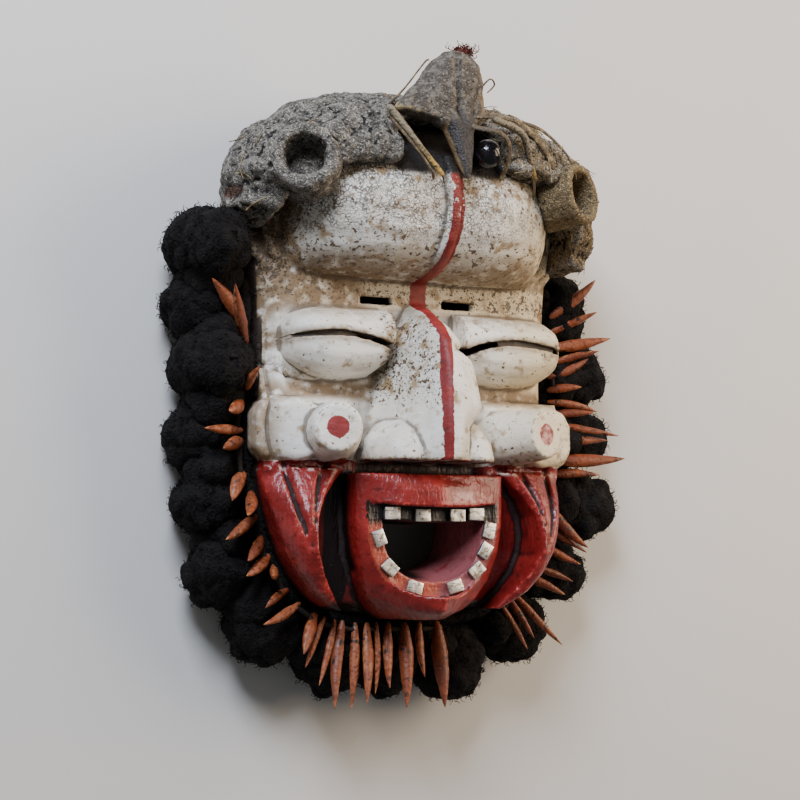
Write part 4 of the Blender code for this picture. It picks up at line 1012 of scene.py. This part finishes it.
def curls(roots, normals, rng, length, lift):
    """Curled strands, one from each root, as thin tapered tubes; lift leans them out of the face."""
    count = len(roots)
    lean = unit(normals + rng.normal(0, 0.5, (count, 3)) + np.array([0, 0, lift]))
    across = unit(np.cross(lean, rng.normal(size=(count, 3))))
    over = np.cross(lean, across)
    t = np.linspace(0, 1, 6)
    reach = rng.uniform(0.5, 1.15, count) * length
    coil = rng.uniform(0.5, 1.3, count)[:, None]
    phase = rng.uniform(0, 2 * math.pi, count)[:, None]
    turn = phase + rng.uniform(4, 8, count)[:, None] * t
    centres = roots[:, None] + lean[:, None] * (reach[:, None] * t)[..., None]
    centres += across[:, None] * (coil * (np.cos(turn) - np.cos(phase)))[..., None]
    centres += over[:, None] * (coil * (np.sin(turn) - np.sin(phase)))[..., None]
    radii = np.broadcast_to(CURL_RADIUS * (1.2 - 0.6 * t), (count, 6))
    frames = [np.broadcast_to(side[:, None], centres.shape) for side in (across, over)]
    return tubes(centres, radii, 3, *frames)


def strands_on(points, faces, rng, count, length, lift):
    """Curled strands evenly scattered over a surface, rooted a little under it."""
    a, b, c = points[faces[:, 0]], points[faces[:, 1]], points[faces[:, 2]]
    area = np.linalg.norm(np.cross(b - a, c - a), axis=1)
    chosen = rng.choice(len(faces), count, p=area / area.sum())
    u, v = rng.random((2, count, 1))
    out = normals_of(points, faces)[faces[chosen, 0]]
    roots = a[chosen] + (b - a)[chosen] * u + (c - a)[chosen] * v - out * 0.8
    return curls(roots, out, rng, length, lift)


def knotted(points, faces, seed, puff, *nap):
    """Raises knots of four sizes on a form, sets short curls all over it, and rests it on the floor."""
    rng = np.random.default_rng(seed)
    knots = swells(points, 24, seed) * 3.5 + (pebbles(points, 13, seed + 1) - 0.45) * 6
    knots += (pebbles(points, 6.5, seed + 4) - 0.4) * 3.4 + (pebbles(points, 3.4, seed + 7) - 0.4) * 1.7
    points = points + normals_of(points, faces) * (puff * (0.6 + knots * 0.25))[:, None]
    points, faces = joined_parts([(points, faces), strands_on(points, faces, rng, *nap)])
    points[:, 2] = np.maximum(points[:, 2], 0.4)
    return points, faces


def dress_wool(name, node, wool, seed, puff, *nap):
    """One tied clump, or the band under them: wool on the solid's form."""
    points, faces = remeshed(node, WOOL_GRID)
    points = smoothed(points, edges_of(faces), 3, 0.5)
    piece(name, mesh_of(name, *knotted(points, faces, seed, puff, *nap)), wool, "wool", node)


def ball_form():
    """A cube of even squares blown out to a ball of radius 1: its points and its faces."""
    made = bmesh.new()
    bmesh.ops.create_cube(made, size=2)
    bmesh.ops.subdivide_edges(made, edges=made.edges, cuts=13, use_grid_fill=True)
    points = np.array([v.co.normalized() for v in made.verts])
    faces = np.array([[v.index for v in f.verts] for f in made.faces])
    made.free()
    return points, faces


def fill_wool(wool):
    """Loose clumps that close the gaps between the tied ones."""
    line = side_line()
    ball, faces = ball_form()
    for number, (place, low, high) in enumerate(FILLS, start=1):
        here, out = along_line(line, place)
        centre = here + out * (FILL_REACH + CLAW_STAND * 2)
        turn = math.atan2(out.y, out.x)
        reach, across = ball[:, 0] * FILL_REACH, ball[:, 1] * FILL_HALF_LENGTH
        points = np.stack([centre.x + reach * math.cos(turn) - across * math.sin(turn),
                           centre.y + reach * math.sin(turn) + across * math.cos(turn),
                           (low + high) / 2 + ball[:, 2] * (high - low) / 2], axis=1)
        name = f"wool_fill_{number:02d}"
        clump = knotted(points, faces, 200 + number, 3.5, CURLS_PER_FILL, CURL_LENGTH, 0.2)
        piece(name, mesh_of(name, *clump), wool, "wool")


def dress_all_wool():
    wool = curled_wool()
    for number in range(1, 16):
        dress_wool(f"wool_ball_{number:02d}", f"wool_tuft_{number:02d}", wool, 100 + number, 4.0,
                   CURLS_PER_BALL, CURL_LENGTH, 0.1)
    dress_wool("knotted_wool_band", "wool_band", wool, 90, 1.6, BAND_CURLS, CURL_LENGTH * 1.7, 0.9)
    fill_wool(wool)


# Claws

def side_line():
    """The wood's outline from the claws' left end, round the chin, to their right end."""
    line = []
    for side, top in ((-1, LINE_TOP_LEFT), (1, BAND_TOP_RIGHT)):
        half = [Vector((side * curve(SIDE_HALF_WIDTH, y), y))
                for y in (*(s for s in SIDE_STATIONS if s < top), top)]
        line += list(reversed(half)) if side < 0 else half
    return line


def outward(line, i):
    """The outward direction at one point of the line, longer where the line turns, to keep an even offset."""
    before = (line[i] - line[max(i - 1, 0)]) if i else (line[1] - line[0])
    after = (line[i + 1] - line[i]) if i + 1 < len(line) else before
    normals = [Vector((d.y, -d.x)).normalized() for d in (before, after)]
    middle = (normals[0] + normals[1]).normalized()
    return middle / max(middle.dot(normals[0]), 0.5)


def along_line(line, place):
    """The point and the outward direction at a distance along the line."""
    for i, (a, b) in enumerate(zip(line, line[1:])):
        length = (b - a).length
        if place <= length or i == len(line) - 2:
            break
        place -= length
    t = place / length
    out = outward(line, i).normalized().lerp(outward(line, i + 1).normalized(), t).normalized()
    return line[i].lerp(line[i + 1], t), out


def tie_level(x):
    """The level of the claws' ties, which climb from the right side, under the chin, to the left."""
    level, sloped = SLOPE_REACH
    share = max(0, min(1, (abs(x) - level) / (sloped - level)))
    return BAND_BACK - math.copysign(BAND_SLOPE * share, x) + BAND_HEIGHT + CLEARANCE + CLAW_RADIUS


def claw_form(root, direction, length, width, place):
    """One whittled claw: a blunt neck, flattened sides, a full belly at a third and a drawn point."""
    t = np.linspace(0, 1, CLAW_RINGS)
    up = np.array([0.0, 0, 1])
    side = unit(np.cross(direction, up))
    over = np.cross(side, direction)
    bend = CLAW_BOW * math.sin(place)
    hook = CLAW_HOOK * math.sin(1.9 * place + 0.4)
    aside = bend * 4 * t * (1 - t) + hook * t ** 3
    centres = root + direction * (length * t)[:, None] + side * aside[:, None]
    centres += up * (bend * 0.5 * t * t)[:, None]
    twist = 0.5 * math.sin(3.3 * place)
    across = side * math.cos(twist) + over * math.sin(twist)
    flat = (over * math.cos(twist) - side * math.sin(twist)) * 0.78
    frames = [np.broadcast_to(d, centres.shape)[None] for d in (across, flat)]
    points, faces = tubes(centres[None], (width * np.interp(t, *CLAW_PROFILE))[None], CLAW_SIDES, *frames)
    ridge = np.abs(np.cos(np.arange(CLAW_SIDES) * 2 * math.pi / CLAW_SIDES)) ** 4
    ridge = np.maximum(np.tile(ridge, CLAW_RINGS), ease(0.8, 1, np.repeat(t, CLAW_SIDES)))
    return points + wander(points, 8, place) * 0.3, faces, ridge


def claw_rows():
    """Every claw in its order along the line: its table row, and the length that its share is of."""
    tables = ((LEFT_CLAW_LENGTH, LEFT_CLAWS), (CHIN_CLAW_LENGTH, CHIN_CLAWS), (CLAW_LENGTH, RIGHT_CLAWS))
    return [(row, length) for length, table in tables for row in table]


def dress_claws():
    """Claws tied in pairs on a cord, as the solids place them."""
    wood = oiled_claw_wood()
    line = side_line()
    line = [p + outward(line, i) * CLEARANCE for i, p in enumerate(line)]
    rows = claw_rows()
    for number, pair in enumerate(zip(rows[::2], rows[1::2]), start=1):
        parts, ridges, shades, knots = [], [], [], []
        for (place, lean, rise, share, thick), length in pair:
            here, out = along_line(line, place)
            heading = math.atan2(out.y, out.x) + math.radians(lean)
            rise = math.radians(rise)
            flat = math.cos(rise)
            direction = np.array([math.cos(heading) * flat, math.sin(heading) * flat, math.sin(rise)])
            beside = here.x < 0 and abs(here.y - BLOCK_LEVEL) < BLOCK_REACH
            root = np.array([*(here + out * (BLOCK_STAND if beside else CLAW_STAND)), tie_level(here.x)])
            *form, ridge = claw_form(root, direction, length * share, CLAW_RADIUS * thick, place)
            parts.append(form)
            ridges.append(ridge)
            # Each claw's own tone, with painted shade darkening the claws on the right
            shades.append(np.full(len(ridge), 0.35 * (1 + math.sin(2.7 * place)) + 0.3 * (here.x > 0)))
            knots.append(root + direction * CLAW_RADIUS)
        sag = (knots[0] + knots[1]) / 2 + np.array([0, 0, -0.6])
        cord = stalk([knots[0], sag, knots[1]], CORD_RADIUS, 12, 0, 5)
        nothing = np.zeros(len(cord[0]))
        name = f"carved_claws_{number:02d}"
        mesh = mesh_of(name, *joined_parts([*parts, cord]))
        ridge = np.concatenate([*ridges, nothing])
        paint(mesh, ridge=ridge, shade=np.concatenate([*shades, nothing]),
              soiled=np.arange(len(ridge)) >= len(ridge) - len(nothing))
        piece(name, mesh, wood, "claw_wood", f"claws_{number:02d}")


# Floor, light and camera

# The lights: place and width in metres, power and tint
LIGHTS = (("key", (-0.6, 0.86, 0.86), 0.5, 29, "#E6EEFF"), ("fill", (1.0, 0.32, 0.75), 0.9, 21, "#FFE6C8"))

# The camera stands in front of the lying face, to its left and a little below the middle
CAMERA_YAW = math.radians(28)
CAMERA_BELOW = math.radians(5)
CAMERA_PLACE = (-520.1, -113.3, 1020.4)
LENS = 85.34


def make_studio():
    """A pale paper floor, two soft lights and a dim sky."""
    floor = placed("floor", bpy.data.meshes.new("floor"))
    floor.data.from_pydata([(-4, -4, 0), (4, -4, 0), (4, 4, 0), (-4, 4, 0)], [], [(0, 1, 2, 3)])
    floor.data.materials.append(new_finish("matt paper", Roughness=0.9, Base_Color=linear("#D3D1CC")))
    for name, place, size, power, tint in LIGHTS:
        lamp = bpy.data.lights.new(name, "AREA")
        lamp.energy = power
        lamp.size = size
        lamp.color = linear(tint)[:3]
        made = placed(name, lamp)
        made.location = place
        made.rotation_euler = (-Vector(place)).to_track_quat("-Z", "Y").to_euler()
    world = bpy.data.worlds.new("studio")
    world.use_nodes = True
    sky = world.node_tree.nodes["Background"].inputs
    sky["Color"].default_value = linear("#E8EAEE")
    sky["Strength"].default_value = 0.2
    bpy.context.scene.world = world


def make_camera():
    back = Vector((-math.sin(CAMERA_YAW) * math.cos(CAMERA_BELOW), -math.sin(CAMERA_BELOW),
                   math.cos(CAMERA_YAW) * math.cos(CAMERA_BELOW)))
    right = Vector((0, 1, 0)).cross(back).normalized()
    up = back.cross(right)
    camera = placed("camera", bpy.data.cameras.new("camera"))
    camera.data.lens = LENS
    camera.data.sensor_width = 36
    turned = Matrix((right, up, back)).transposed().to_4x4()
    turned.translation = Vector(CAMERA_PLACE) * MM + ORIGIN
    camera.matrix_world = turned
    bpy.context.scene.camera = camera


def main():
    make_studio()
    make_camera()
    dress_face()
    dress_crown()
    dress_skull()
    dress_quills()
    dress_down()
    dress_seed()
    dress_teeth()
    dress_all_wool()
    dress_claws()


main()
